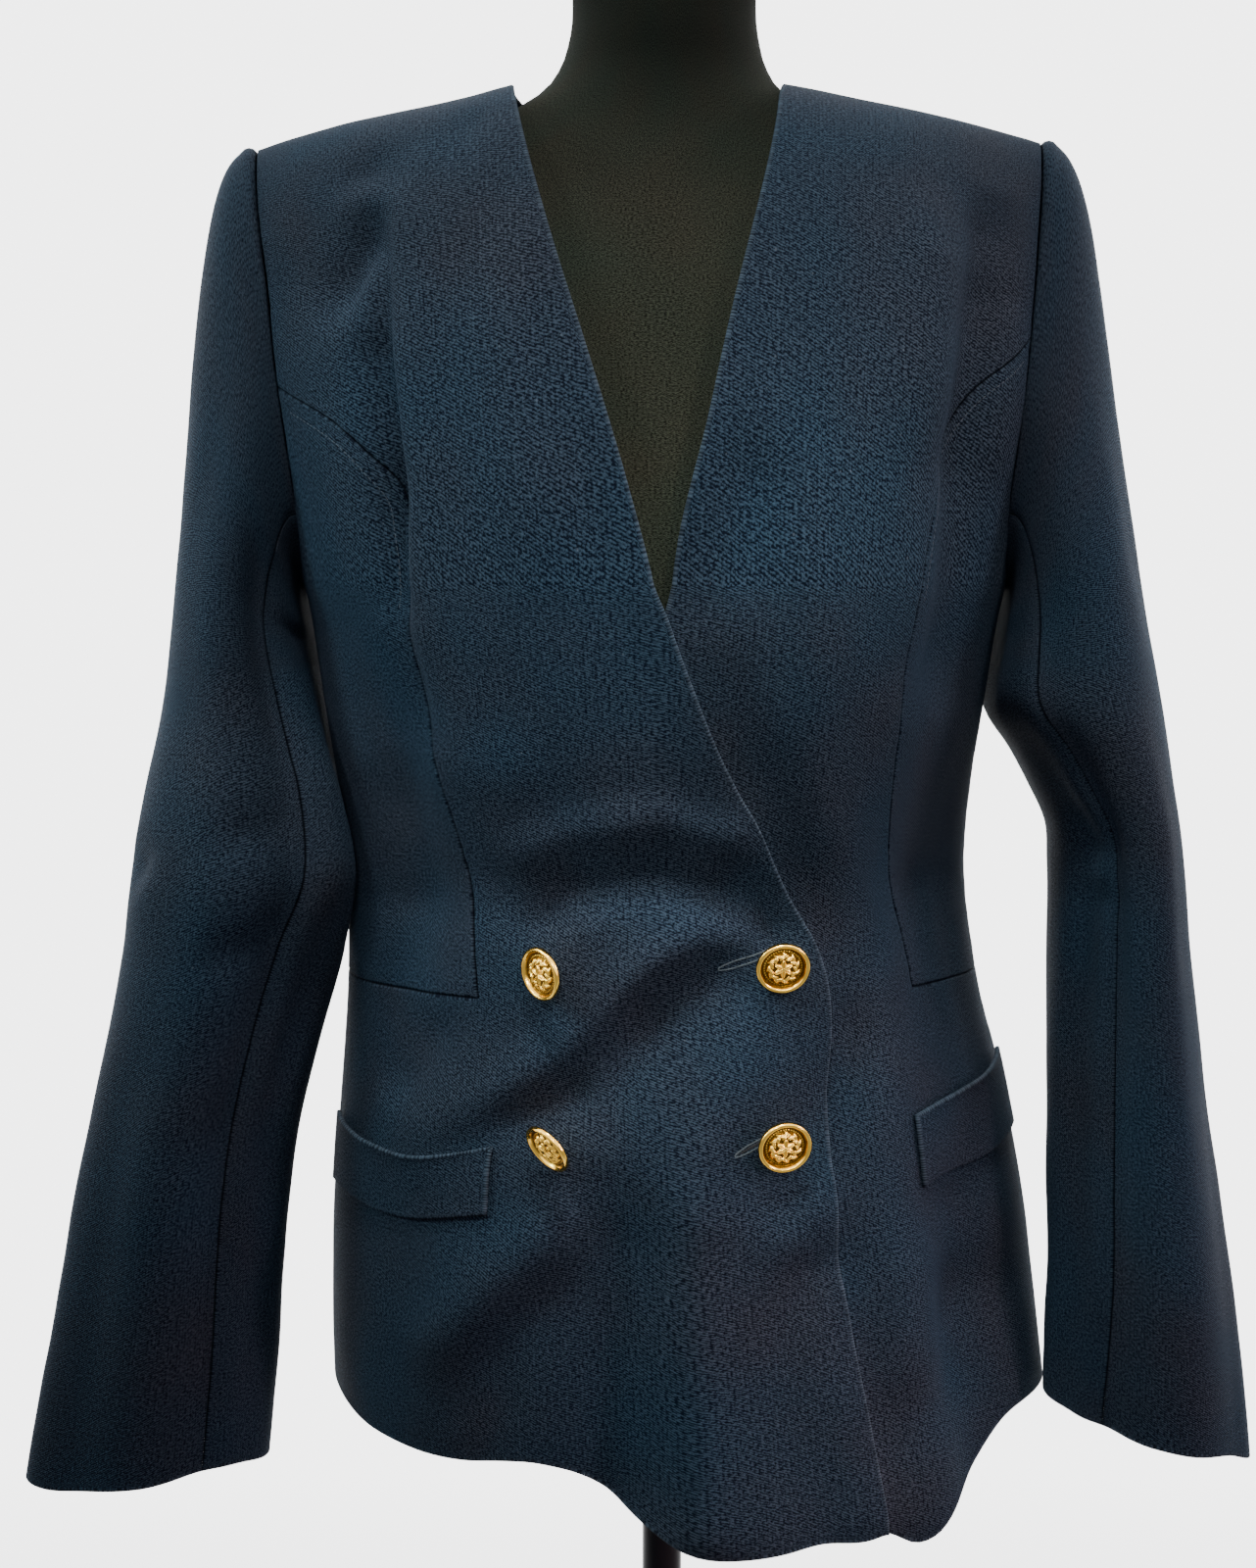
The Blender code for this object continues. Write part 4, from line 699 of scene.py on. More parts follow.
def rim_frame(points, normals, cells):
    """Edges of a sheet's boundary, and at each point the mitred way inward and how much of a rim fits."""
    edges = np.array([(a, b) for cell in cells for a, b in zip(cell, cell[1:] + cell[:1])])
    keys = np.sort(edges, axis=1)
    _, first, count = np.unique(keys, axis=0, return_index=True, return_counts=True)
    rim = edges[first[count == 1]]
    owner = np.array(cells)[first[count == 1] // 4]
    a, b = rim.T
    run = points[b] - points[a]
    side = unit(np.cross(run, normals[a] + normals[b]))
    middle = points[owner].mean(axis=1)
    flip = np.sum(side * ((points[a] + points[b]) / 2 - middle), axis=1) < 0
    side[flip] *= -1
    total = np.zeros_like(points)
    length = np.linalg.norm(run, axis=1)
    shortest = np.full(len(points), np.inf)
    across = 2 * np.abs(np.sum(((points[a] + points[b]) / 2 - middle) * side, axis=1))
    for ends in (a, b):
        np.add.at(total, ends, side)
        np.minimum.at(shortest, ends, np.minimum(length * EDGE_SHARE, across))
    both = np.sum(total * total, axis=1) / 2
    inward = -total / np.maximum(both, LEAST_MITRE)[:, None]
    widest = np.linalg.norm(inward, axis=1) * FREE_RIM[0][0]
    room = np.minimum(1.0, MOST_CELL_SHARE * shortest / np.maximum(widest, 1e-6))
    return rim, inward, room


def uneven(points, amount):
    """Slight unevenness that tailored cloth keeps between its folds, in mm."""
    return amount * np.array([
        SWELL * noise.noise(Vector(point) / SWELL_RUN)
        + RIPPLE * noise.noise(Vector(point) / RIPPLE_RUN + RIPPLE_SHIFT)
        for point in points
    ])


def pucker(points, sewn):
    """Small dimples along the sewn edges, which fade within a few mm."""
    tree = kdtree.KDTree(len(sewn))
    for k, index in enumerate(sewn):
        tree.insert(points[index], k)
    tree.balance()
    depth = np.zeros(len(points))
    for k, point in enumerate(points):
        near, _, distance = tree.find(point)
        if distance < 3 * PUCKER_REACH:
            wave = noise.noise(near / PUCKER_RUN)
            depth[k] = PUCKER * wave * math.exp(-(distance / PUCKER_REACH) ** 2)
    return depth


def cloth_wall(name, points, normals, cells, free, finish, grain, thickness=CLOTH, insets=None, drape=1.0):
    """Fine closed wall of cloth with seams that sink and turned free edges; each point keeps, for the material,
    the painted shade of its seam and the wear and painted sheen of a free edge's fold.
    """
    facing = np.cross(points[cells[0][1]] - points[cells[0][0]], points[cells[0][2]] - points[cells[0][0]])
    if np.dot(facing, normals[cells[0][0]]) < 0:
        cells = [cell[::-1] for cell in cells]
    rim, inward, room = rim_frame(points, normals, cells)
    ring = np.unique(rim)
    sewn = ring[~free[ring]]
    points = points + normals * (uneven(points, drape) + pucker(points, sewn) * drape)[:, None]
    start = np.full(len(points), SEAM_GAP / 2)
    if insets is not None:
        start = np.maximum(start, insets)

    def rim_points(step):
        """Ring of boundary points at one step of the rim's outline."""
        loose = free[ring]
        inset = np.where(loose, FREE_RIM[step][0], SEWN_RIM[step][0]) * room[ring] + start[ring]
        height = np.where(loose, FREE_RIM[step][1], SEWN_RIM[step][1]) * thickness
        return points[ring] + inward[ring] * inset[:, None] + normals[ring] * height[:, None]

    count = len(points)
    outer = points + normals * thickness / 2
    inner = points - normals * thickness / 2
    last = len(SEWN_RIM) - 1
    outer[ring], inner[ring] = rim_points(0), rim_points(last)
    place = np.zeros(count, int)
    place[ring] = np.arange(len(ring))
    grid = np.array(cells)
    faces = grid.tolist() + (grid[:, ::-1] + count).tolist()
    starts, ends = rim.T
    rows = [np.arange(count)] + [
        2 * count + (step - 1) * len(ring) + place for step in range(1, last)] + [count + np.arange(count)]
    for low, high in zip(rows, rows[1:]):
        faces += strip_faces(starts, ends, low, high)
    vertices = np.concatenate([outer, inner] + [rim_points(step) for step in range(1, last)])
    mesh = smooth_mesh(name, vertices, faces)
    owner = np.concatenate([np.arange(count), np.arange(count)] + [ring] * (last - 1))
    store(mesh, "grain", grain[owner])
    # Painted shade that deepens as a sewn rim sinks into its seam, and, stored below 0, wear with a painted
    # sheen on a free edge's fold.
    seam_shade_and_edge_sheen = [np.zeros(count), np.zeros(count)] + [
        np.where(free[ring], -FREE_WEAR_AND_SHEEN[step], min(1.0, SEAM_SHADE * (0.5 - SEWN_RIM[step][1])))
        for step in range(1, last)]
    store(mesh, "seam", np.concatenate(seam_shade_and_edge_sheen))
    piece = link(name + CLOTH_SUFFIX, mesh, finish)
    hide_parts(name)


def grid_cells(rows, columns):
    """Quads of a grid whose points are stored row by row."""
    corner = (np.arange(rows)[:, None] * (columns + 1) + np.arange(columns)[None]).ravel()
    return np.stack([corner, corner + 1, corner + columns + 2, corner + columns + 1], axis=1).tolist()


def body_grain(turn, level, seed):
    """Cloth coordinates in mm: across the warp, along it, and a number of the panel's own."""
    across = np.radians(turn) * BODY_RADIUS
    return np.stack([across, level, np.full(len(turn), seed)], axis=1)


def body_wall(name, places, cells, free, finish, seed, lift=None):
    """Panel of the body, from the turn and level of its points."""
    turn, level = places[:, 0], places[:, 1]
    points, normals = body_surface(turn, level)
    if lift is not None:
        points = points + normals * lift(points, level)[:, None]
    cloth_wall(name, points, normals, cells, free, finish, body_grain(turn, level, seed))


# ---- Panels ----

FRONT_COLUMNS, SIDE_COLUMNS, BACK_COLUMNS = 64, 30, 36
SKIRT_ROWS, SIDE_ROWS, ARMHOLE_ROWS, NECK_ROWS = 64, 110, 56, 24
UPPER_COLUMNS, UNDER_COLUMNS, CAP_ROWS, ARM_ROWS = 54, 32, 54, 96
WELT_COLUMNS, WELT_ROWS = 44, 14
# Third coordinate of each panel's weave, which keeps its pattern apart from its neighbours'.
SEEDS = {"front": 10.0, "side_front": 23.0, "back": 31.0, "welt": 41.0, "upper": 51.0, "under": 67.0}
# The padded head stands up just below its seam: its height, spread round the arm in degrees, distance from
# the seam and half spread down the sleeve.
ROPING, ROPING_ROUND, ROPING_DOWN, ROPING_SPREAD = 1.5, 52, 11, 7


def waist_row(side):
    """Places along the waist line from the front edge to the princess seam and on to the side seam."""
    foot = princess(side, 0.0)[0]
    edge = free_edge(side, WAIST_LEVEL)[0]
    limit = side_turn(side, 0.0)
    inner = [(turn, WAIST_LEVEL) for turn in blend(edge, foot, FRONT_COLUMNS)]
    outer = [(turn, WAIST_LEVEL) for turn in blend(foot, limit, SIDE_COLUMNS)]
    return inner, outer


def front_panel(side, name, finish):
    """Front with the shoulder and upper armhole, and below the waist seam right round to the side seam."""
    inner, outer = waist_row(side)
    waist = inner + outer[1:]
    hem_edge = free_edge(side, HEM_EDGE_LEVEL)[0]
    foot, limit = inner[-1][0], outer[-1][0]
    hem = []
    for turn, _ in waist:
        if abs(turn - limit) >= abs(foot - limit):
            share = (turn - foot) / (inner[0][0] - foot)
            turn = foot + share * (hem_edge - foot)
        hem.append((turn, hem_level(side, turn)))
    left = [free_edge(side, level) for level in blend(hem[0][1], WAIST_LEVEL, SKIRT_ROWS)]
    hem[0] = left[0]
    right = [(limit, level) for level in blend(hem[-1][1], WAIST_LEVEL, SKIRT_ROWS)]
    skirt = coons(hem, waist, left, right)

    outline = [princess(side, share) for share in blend(0.0, 1.0, SIDE_ROWS)]
    outline += [armhole(side, s) for s in blend(PRINCESS_STATION[side], 180.0, ARMHOLE_ROWS)[1:]]
    left = [free_edge(side, level) for _, level in outline]
    top = [(turn, RIDGE_LEVEL) for turn in blend(left[-1][0], outline[-1][0], FRONT_COLUMNS)]
    chest = coons(inner, top, left, outline)

    width, rows = len(waist), len(outline) - 1
    places = np.concatenate([skirt.reshape(-1, 2), chest[1:].reshape(-1, 2)])
    cells = grid_cells(SKIRT_ROWS, width - 1)
    first = SKIRT_ROWS * width
    row_start = [first] + [first + width + k * (FRONT_COLUMNS + 1) for k in range(rows)]
    for low, high in zip(row_start, row_start[1:]):
        cells += [[low + i, low + i + 1, high + i + 1, high + i] for i in range(FRONT_COLUMNS)]
    free = np.zeros(len(places), bool)
    free[:width] = True
    free[np.arange(SKIRT_ROWS + 1) * width] = True
    free[row_start[1:]] = True
    free[row_start[-1]] = False
    lift = under_lap if side == LEFT else edge_roll
    body_wall(name, places, cells, free, finish, SEEDS["front"] * side, lift)


def side_front(side, name, finish):
    """Side front, sewn all round: waist seam, side seam, armhole and princess seam."""
    bottom = waist_row(side)[1][::-1]
    top = [armhole(side, s) for s in blend(0.0, PRINCESS_STATION[side], SIDE_COLUMNS)]
    left = [(bottom[0][0], level) for level in blend(WAIST_LEVEL, top[0][1], SIDE_ROWS)]
    right = [princess(side, share) for share in blend(0.0, 1.0, SIDE_ROWS)]
    places = coons(bottom, top, left, right).reshape(-1, 2)
    free = np.zeros(len(places), bool)
    cells = grid_cells(SIDE_ROWS, SIDE_COLUMNS)
    body_wall(name, places, cells, free, finish, SEEDS["side_front"] * side)


def back_panel(side, name, finish):
    """Half of the back, from the centre back seam to the side seam and the back of the armhole."""
    limit = 360.0 if side == RIGHT else 180.0
    centre = 270.0
    side_levels = blend(hem_level(side, side_turn(side, 0.0)), WAIST_LEVEL, SKIRT_ROWS)
    side_levels += blend(WAIST_LEVEL, float(ARMHOLE_BACK("level", 0)), SIDE_ROWS)[1:]
    outer = [(limit, level) for level in side_levels]
    for s in blend(0.0, 180.0, 2 * ARMHOLE_ROWS)[1:]:
        turn = float(ARMHOLE_BACK("turn", s))
        outer.append((360 - turn if side == RIGHT else 180 + turn, float(ARMHOLE_BACK("level", s))))
    rows = len(outer) - 1
    inner = [(centre, level) for level in blend(HEM_BACK_CENTRE, BACK_NECK_LEVEL, rows - NECK_ROWS)]
    shoulder = free_edge(side, RIDGE_LEVEL)[0]
    reach = float(body_point(shoulder, RIDGE_LEVEL)[0]) - SHOULDER_CENTRE
    for k in range(1, NECK_ROWS):
        angle = math.pi / 2 * k / NECK_ROWS
        level = RIDGE_LEVEL - (RIDGE_LEVEL - BACK_NECK_LEVEL) * math.cos(angle)
        inner.append((360 - float(turn_at(SHOULDER_CENTRE + reach * math.sin(angle), level)), level))
    inner.append((360 - shoulder, RIDGE_LEVEL))
    bottom = []
    for turn in blend(centre, limit, BACK_COLUMNS):
        share = abs(turn - centre) / 90
        bottom.append((turn, HEM_BACK_CENTRE + (side_levels[0] - HEM_BACK_CENTRE) * share ** 2))
    top = [(turn, RIDGE_LEVEL) for turn in blend(inner[-1][0], outer[-1][0], BACK_COLUMNS)]
    places = coons(bottom, top, inner, outer).reshape(-1, 2)
    free = np.zeros(len(places), bool)
    free[:BACK_COLUMNS + 1] = True
    free[(BACK_COLUMNS + 1) * np.arange(rows - NECK_ROWS, rows)] = True
    body_wall(name, places, grid_cells(rows, BACK_COLUMNS), free, finish, SEEDS["back"] * side)


def sleeve_run(drop):
    """Distance down the sleeve, in mm."""
    return np.where(drop <= 1, CAP_RUN * drop, CAP_RUN + ARM_RUN * (drop - 1))


def sleeve_panel(side, first, last, columns, name, finish, seed):
    """Upper or under sleeve, from its first station round the arm to its last, free at the cuff."""
    stations = np.array(blend(float(first), float(last), columns))
    drops = np.array(blend(0.0, 1.0, CAP_ROWS) + blend(1.0, 2.0, ARM_ROWS)[1:])
    station, drop = (grid.ravel() for grid in np.meshgrid(stations, drops))
    points, normals = sleeve_surface(side, station, drop)
    down = sleeve_run(drop)
    push = crease_push(station % 360, down, SLEEVE_CREASES[side])
    crown = np.exp(-((station - 180) / ROPING_ROUND) ** 2)
    push = push + ROPING * crown * np.exp(-((down - ROPING_DOWN) / ROPING_SPREAD) ** 2)
    points = points + normals * push[:, None]
    insets = np.zeros(len(points))
    insets[:len(stations)] = armhole_insets(side, stations)
    free = np.zeros(len(points), bool)
    free[-len(stations):] = True
    grain = np.stack([np.radians(station) * SLEEVE_RADIUS, -down, np.full(len(station), seed)], axis=1)
    cells = grid_cells(len(drops) - 1, columns)
    cloth_wall(name, points, normals, cells, free, finish, grain, insets=insets)


def pocket_welt(side, name, finish):
    """Curved welt made from the front's points moved out: sewn below, gaping at its free upper edge."""
    table = WELT_RIGHT if side == RIGHT else WELT_LEFT
    turns = np.linspace(table.knots[0], table.knots[-1], WELT_COLUMNS + 1)
    points, normals, levels = [], [], []
    for row in range(WELT_ROWS + 1):
        share = row / WELT_ROWS
        level = table("lower", turns) * (1 - share) + table("upper", turns) * share
        place, normal = body_surface(side_turn(side, turns), level)
        lift = CLOTH / 2 + WELT_GAP + WELT_THICKNESS / 2 + table("gape", turns) * share ** 1.5
        points.append(place + normal * lift[:, None])
        normals.append(normal)
        levels.append(level)
    points, normals = np.concatenate(points), np.concatenate(normals)
    free = np.ones(len(points), bool)
    free[:WELT_COLUMNS + 1] = False
    around = np.tile(side_turn(side, turns), WELT_ROWS + 1)
    grain = body_grain(around, np.concatenate(levels), SEEDS["welt"] * side)
    cells = grid_cells(WELT_ROWS, WELT_COLUMNS)
    cloth_wall(name, points, normals, cells, free, finish, grain, WELT_THICKNESS, drape=0.4)


# ---- Sewing ----

def capsules(name, starts, ends, ups, radius, flat=1.0, sides=6):
    """Many short threads as one mesh: each a rounded stick, flattened along its up direction."""
    starts, ends, ups = (np.asarray(value, float) for value in (starts, ends, ups))
    along = unit(ends - starts)
    across = unit(np.cross(along, ups))
    up = np.cross(across, along)
    rings = ((0.0, 0.0), (0.12, 0.62), (0.3, 0.95), (0.5, 1.0), (0.7, 0.95), (0.88, 0.62), (1.0, 0.0))
    vertices, faces = [], []
    angles = full_turn(sides)
    for k in range(len(starts)):
        base = len(vertices)
        vertices.append(starts[k])
        for share, swell in rings[1:-1]:
            centre = starts[k] + (ends[k] - starts[k]) * share
            for angle in angles:
                reach = radius * swell
                vertices.append(
                    centre + across[k] * math.cos(angle) * reach + up[k] * math.sin(angle) * reach * flat)
        vertices.append(ends[k])
        last = len(rings) - 3
        for j in range(sides):
            after = (j + 1) % sides
            faces.append((base, base + 1 + after, base + 1 + j))
            for r in range(last):
                low, high = base + 1 + r * sides, base + 1 + (r + 1) * sides
                faces.append((low + j, low + after, high + after, high + j))
            top = base + 1 + last * sides
            faces.append((top + j, top + after, base + 1 + (last + 1) * sides))
    return smooth_mesh(name, vertices, faces)


def along_body(places, pitch, lift=0.0):
    """Points every pitch mm along a line of places on the cloth's outer face, with normals."""
    places = np.asarray(places, float)
    points, normals = body_surface(places[:, 0], places[:, 1])
    points = points + normals * (CLOTH / 2 + lift + uneven(points, 1.0))[:, None]
    run = np.concatenate([[0], np.cumsum(np.linalg.norm(np.diff(points, axis=0), axis=1))])
    at = np.arange(pitch / 2, run[-1], pitch)

    def pick(values):
        """Values at the even steps along the line."""
        return np.stack([np.interp(at, run, values[:, k]) for k in range(3)], axis=1)

    return pick(points), unit(pick(normals))


def stitch_row(name, places, finish, pitch=3.0, length=2.3, radius=0.17, lift=0.05):
    """Row of topstitches on the cloth."""
    points, normals = along_body(places, pitch, lift)
    along = unit(np.gradient(points, axis=0))
    mesh = capsules(name, points - along * length / 2, points + along * length / 2, normals, radius, 0.7)
    piece = link(name, mesh, finish)


def beside_princess(side, low, high, shift, count=60):
    """Line parallel to a princess seam, shifted in mm toward the side."""
    step = 0.01
    places = []
    for share in np.linspace(low, high, count):
        turn, level = princess(side, share)
        ahead, above = princess(side, min(share + step, 1.0))
        behind, below = princess(side, max(share - step, 0.0))
        run = np.array([(ahead - behind) * DEGREE, above - below])
        run = run / np.linalg.norm(run)
        places.append((turn + side * shift * run[1] / DEGREE, level - side * shift * run[0]))
    return places


# Buttonholes: X and level of the end that shows and of the end under the button.
BUTTONHOLES = (
    ("buttonhole_upper", 25.6, 968.6, 50.0, 976.2),
    ("buttonhole_lower", 31.0, 883.6, 54.0, 893.6),
)
HOLE_GAPE = 1.55             # half of the most that a buttonhole opens
SATIN_PITCH, SATIN_REACH = 0.42, 0.42


def buttonhole(row, finish, dark):
    """Slit that the shank holds open, filled with a near-black stick of painted shadow, its lips bound with
    satin stitches that meet at the pointed end.
    """
    name, x0, z0, x1, z1 = row
    count = int(math.hypot(x1 - x0, z1 - z0) / SATIN_PITCH)
    share = np.linspace(0, 1, count)
    across, level = x0 + (x1 - x0) * share, z0 + (z1 - z0) * share
    points, normals = body_surface(turn_at(across, level), level)
    points = points + normals * (CLOTH / 2 + uneven(points, 1.0))[:, None]
    along = unit(np.gradient(points, axis=0))
    side = np.cross(normals, along)
    gape = (HOLE_GAPE * np.sqrt(np.clip(share / 0.3, 0, 1)) * (1 - 0.35 * share) + 0.25)[:, None]
    starts, ends, ups = [], [], []
    for sign in (-1, 1):
        loose = np.array([noise.noise(Vector((k * 0.9, sign * 3.0, z0))) for k in range(count)])[:, None]
        centre = points + side * sign * gape + normals * 0.12
        reach = side * (SATIN_REACH + 0.14 * loose)
        starts.append(centre - reach)
        ends.append(centre + reach)
        ups.append(normals)
    mesh = capsules(name, np.concatenate(starts), np.concatenate(ends), np.concatenate(ups), 0.24, 0.8)
    # The open slit is a near-black stick: painted shadow.
    slit = capsules(name + "_slit", [points[2]], [points[-1]], [normals[count // 2]], 0.62, 0.3, 10)
    for piece in (link(name, mesh, finish), link(name + "_slit", slit, dark)):
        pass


# ---- Buttons ----

# Outline of a button's face: radius and height.
BUTTON_FACE = Table(
    "radius height",
    (0.0, 1.75), (3.0, 1.6), (6.0, 1.05), (7.6, 0.55), (8.6, 0.05), (9.3, -0.15), (10.0, 0.15), (10.5, 1.0),
    (11.0, 1.72), (11.8, 2.0), (12.5, 1.75), (12.9, 1.05), (13.0, 0.3),
)
BUTTON_BACK = ((12.9, -0.3), (12.2, -0.8), (10.6, -1.35), (7.5, -2.1), (4.0, -2.45), (0.0, -2.55))
FACE_RINGS, FACE_SPOKES = 72, 192
FACE_CROWDING = 0.92                     # sets the face's rings a little closer toward its rim
LEAVES, LEAF_ROWS = 11, ((7.15, 0.62), (5.75, -0.62))            # radius of each ring of leaves, and its lean
LEAF_LENGTH, LEAF_WIDTH, LEAF_TAPER, LEAF_HEIGHT = 1.95, 0.98, 0.25, 1.05
INNER_LEAVES_LOWER = 0.12
VEIN_DEPTH, VEIN_WIDTH, VEIN_LENGTH = 0.55, 0.13, 1.5
PETALS, PETAL_START, PETAL_END = 6, 0.9, 4.7
PETAL_WIDTH, PETAL_HEIGHT, FURROW_DEPTH, FURROW_WIDTH = 1.5, 1.1, 0.5, 0.22
FULLNESS = 0.75                          # power that makes leaves and petals full
BOSS_HEIGHT, BOSS_RADIUS = 1.05, 1.25
BEADS, BEAD_RADIUS, BEAD_WIDTH, BEAD_HEIGHT = 44, 8.95, 0.3, 0.3
POLISHED = (10.0, 10.7)                  # radii between which the painted recess shade gives way to the bright rim
UNSHADED_HEIGHT = 0.34                       # relief that stands this high takes no painted shade
# Share of painted shade on the button's back and on its shank.
BACK_SHADE, SHANK_SHADE = 0.2, 0.3
BUTTON_CLEARANCE, BUTTON_DEPTH = 1.2, 3.0        # room to the cloth, and depth of the button behind its middle
SHANK_SUNK, SHANK_END = 0.3, 1.2         # how far the shank goes into the cloth, and how far behind the middle
# Outline of the shank: share of its length, and radius.
SHANK = (
    (0.0, 0.0), (0.0, 1.9), (0.08, 2.2), (0.2, 2.1), (0.45, 1.75), (0.7, 1.8), (0.92, 2.2), (1.0, 2.4),
    (1.0, 0.0),
)


def wreath_relief(radius, angle):
    """Height of two rings of veined leaves, in mm."""
    spoke = 2 * math.pi / LEAVES
    total = np.zeros_like(radius)
    for row, (centre, lean) in enumerate(LEAF_ROWS):
        phase = (angle / spoke + 0.5 * row) % 1 - 0.5
        along, out = phase * spoke * centre, radius - centre
        u = along * math.cos(lean) + out * math.sin(lean)
        v = -along * math.sin(lean) + out * math.cos(lean)
        width = LEAF_WIDTH * (1 - LEAF_TAPER * u)
        leaf = np.clip(1 - (u / LEAF_LENGTH) ** 2 - (v / width) ** 2, 0, 1) ** FULLNESS
        vein = 1 - VEIN_DEPTH * np.exp(-(v / VEIN_WIDTH) ** 2) * (np.abs(u) < VEIN_LENGTH)
        total = np.maximum(total, (LEAF_HEIGHT - INNER_LEAVES_LOWER * row) * leaf * vein)
    return total


def rosette_relief(radius, angle):
    """Height of furrowed petals round a boss, in mm."""
    turn = (angle * PETALS / (2 * math.pi)) % 1 - 0.5
    half = PETAL_WIDTH * np.sin(np.clip(radius / PETAL_END, 0, 1) * math.pi) ** 0.6 + 0.05
    petal = np.clip(1 - (turn * 2 * math.pi / PETALS * radius / half) ** 2, 0, 1) ** FULLNESS
    petal = np.where((radius > PETAL_START) & (radius < PETAL_END), petal, 0)
    furrow = 1 - FURROW_DEPTH * np.exp(-(turn * radius / FURROW_WIDTH) ** 2)
    boss = BOSS_HEIGHT * np.clip(1 - (radius / BOSS_RADIUS) ** 2, 0, 1) ** 0.5
    return np.maximum(PETAL_HEIGHT * petal * furrow, boss)


def button_relief(radius, angle):
    """Height of the raised wreath, rosette and beads on a button's domed face, in mm."""
    beads = BEAD_HEIGHT * (np.cos(angle * BEADS) * 0.5 + 0.5)
    beads = beads * np.exp(-((radius - BEAD_RADIUS) / BEAD_WIDTH) ** 2)
    return np.maximum(np.maximum(wreath_relief(radius, angle), rosette_relief(radius, angle)), beads)


def button(row, finish):
    """Gold shank button: raised polished rim, groove, and a domed face with a wreath round a rosette."""
    spec = dict(zip(BUTTON_COLUMNS, row))
    seat = (turn_at(spec["across"], spec["level"]), np.array(spec["level"]))
    place, normal = body_surface(*seat, creased=False)
    yaw, pitch = math.radians(spec["yaw"]), math.radians(spec["pitch"])
    facing = Vector((math.sin(yaw) * math.cos(pitch), -math.cos(yaw) * math.cos(pitch), -math.sin(pitch)))
    normal = Vector(normal)
    tilt = facing.angle(normal)
    height = CLOTH / 2 + BUTTON_CLEARANCE + BUTTON_DEPTH * math.cos(tilt) + BUTTON_RADIUS * math.sin(tilt)
    centre = Vector(place) + normal * height
    turn = Matrix.Translation(centre) @ facing.to_track_quat("Z", "Y").to_matrix().to_4x4()

    spokes = full_turn(FACE_SPOKES)
    radii = BUTTON_RADIUS * np.linspace(0, 1, FACE_RINGS + 1)[1:] ** FACE_CROWDING
    rings, recess = [], []
    for radius in radii:
        relief = button_relief(np.full(FACE_SPOKES, radius), spokes)
        rings.append(circle(radius, float(BUTTON_FACE("height", radius)) + relief, spokes))
        # Painted shade in the low places of the relief, fading out on the rim.
        recess.append(np.clip(1 - relief / UNSHADED_HEIGHT, 0, 1) * (1 - smooth_step(radius, *POLISHED)))
    for radius, level in BUTTON_BACK[:-1]:
        rings.append(circle(radius, level, spokes))
        recess.append(np.full(FACE_SPOKES, BACK_SHADE))
    middle = [[0, 0, float(BUTTON_FACE("height", 0)) + BOSS_HEIGHT]]
    vertices = np.concatenate([middle] + rings + [[[0, 0, BUTTON_BACK[-1][1]]]])
    recess = np.concatenate([[0.0]] + recess + [[BACK_SHADE]])
    around = np.arange(FACE_SPOKES)
    after = (around + 1) % FACE_SPOKES
    faces = [(0, 1 + a, 1 + b) for a, b in zip(around, after)]
    for k in range(len(rings) - 1):
        low, high = 1 + k * FACE_SPOKES, 1 + (k + 1) * FACE_SPOKES
        faces += np.stack([low + around, high + around, high + after, low + after], axis=1).tolist()
    low, tip = 1 + (len(rings) - 1) * FACE_SPOKES, len(vertices) - 1
    faces += [(low + b, low + a, tip) for a, b in zip(around, after)]
    mesh = smooth_mesh(spec["name"], vertices, faces)
    store(mesh, "recess", recess)
    mesh.transform(Matrix.Scale(1 / MM, 4))
    mesh.transform(turn)
    mesh.transform(Matrix.Scale(MM, 4))
    head = link(spec["name"] + "_face", mesh, finish)
    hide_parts(spec["name"])
    place, normal = body_surface(*seat)
    foot = Vector(place) + Vector(normal) * (CLOTH / 2 - SHANK_SUNK)
    shank(spec["name"] + "_shank", np.array(foot), np.array(centre - facing * SHANK_END), finish)


def shank(name, foot, top, finish):
    """Waisted metal stem from the cloth to the button's back."""
    sides = 24
    axis = unit(top - foot)
    across = unit(np.cross(axis, (0.3, 0.2, 0.9)))         # from any direction that no stem takes
    other = np.cross(axis, across)
    vertices, faces = [foot], []
    for share, radius in SHANK[1:-1]:
        ring = foot + (top - foot) * share
        vertices += [ring + radius * (across * math.cos(a) + other * math.sin(a)) for a in full_turn(sides)]
    vertices.append(top)
    count = len(SHANK) - 2
    for j in range(sides):
        after = (j + 1) % sides
        faces.append((0, 1 + after, 1 + j))
        for r in range(count - 1):
            low, high = 1 + r * sides, 1 + (r + 1) * sides
            faces.append((low + j, low + after, high + after, high + j))
        faces.append((1 + (count - 1) * sides + j, 1 + (count - 1) * sides + after, 1 + count * sides))
    mesh = smooth_mesh(name, vertices, faces)
    # The shank takes an even share of painted shade.
    store(mesh, "recess", np.full(len(vertices), SHANK_SHADE))
    piece = link(name, mesh, finish)


# ---- Dress form and stand ----

def end_trim(distance, rounding, trim):
    """Size of a ring this far from a rounded end: smaller by the trim at the end itself."""
    near = 1 - min(distance / rounding, 1)
    return 1 - trim * (1 - math.sqrt(1 - near ** 2))


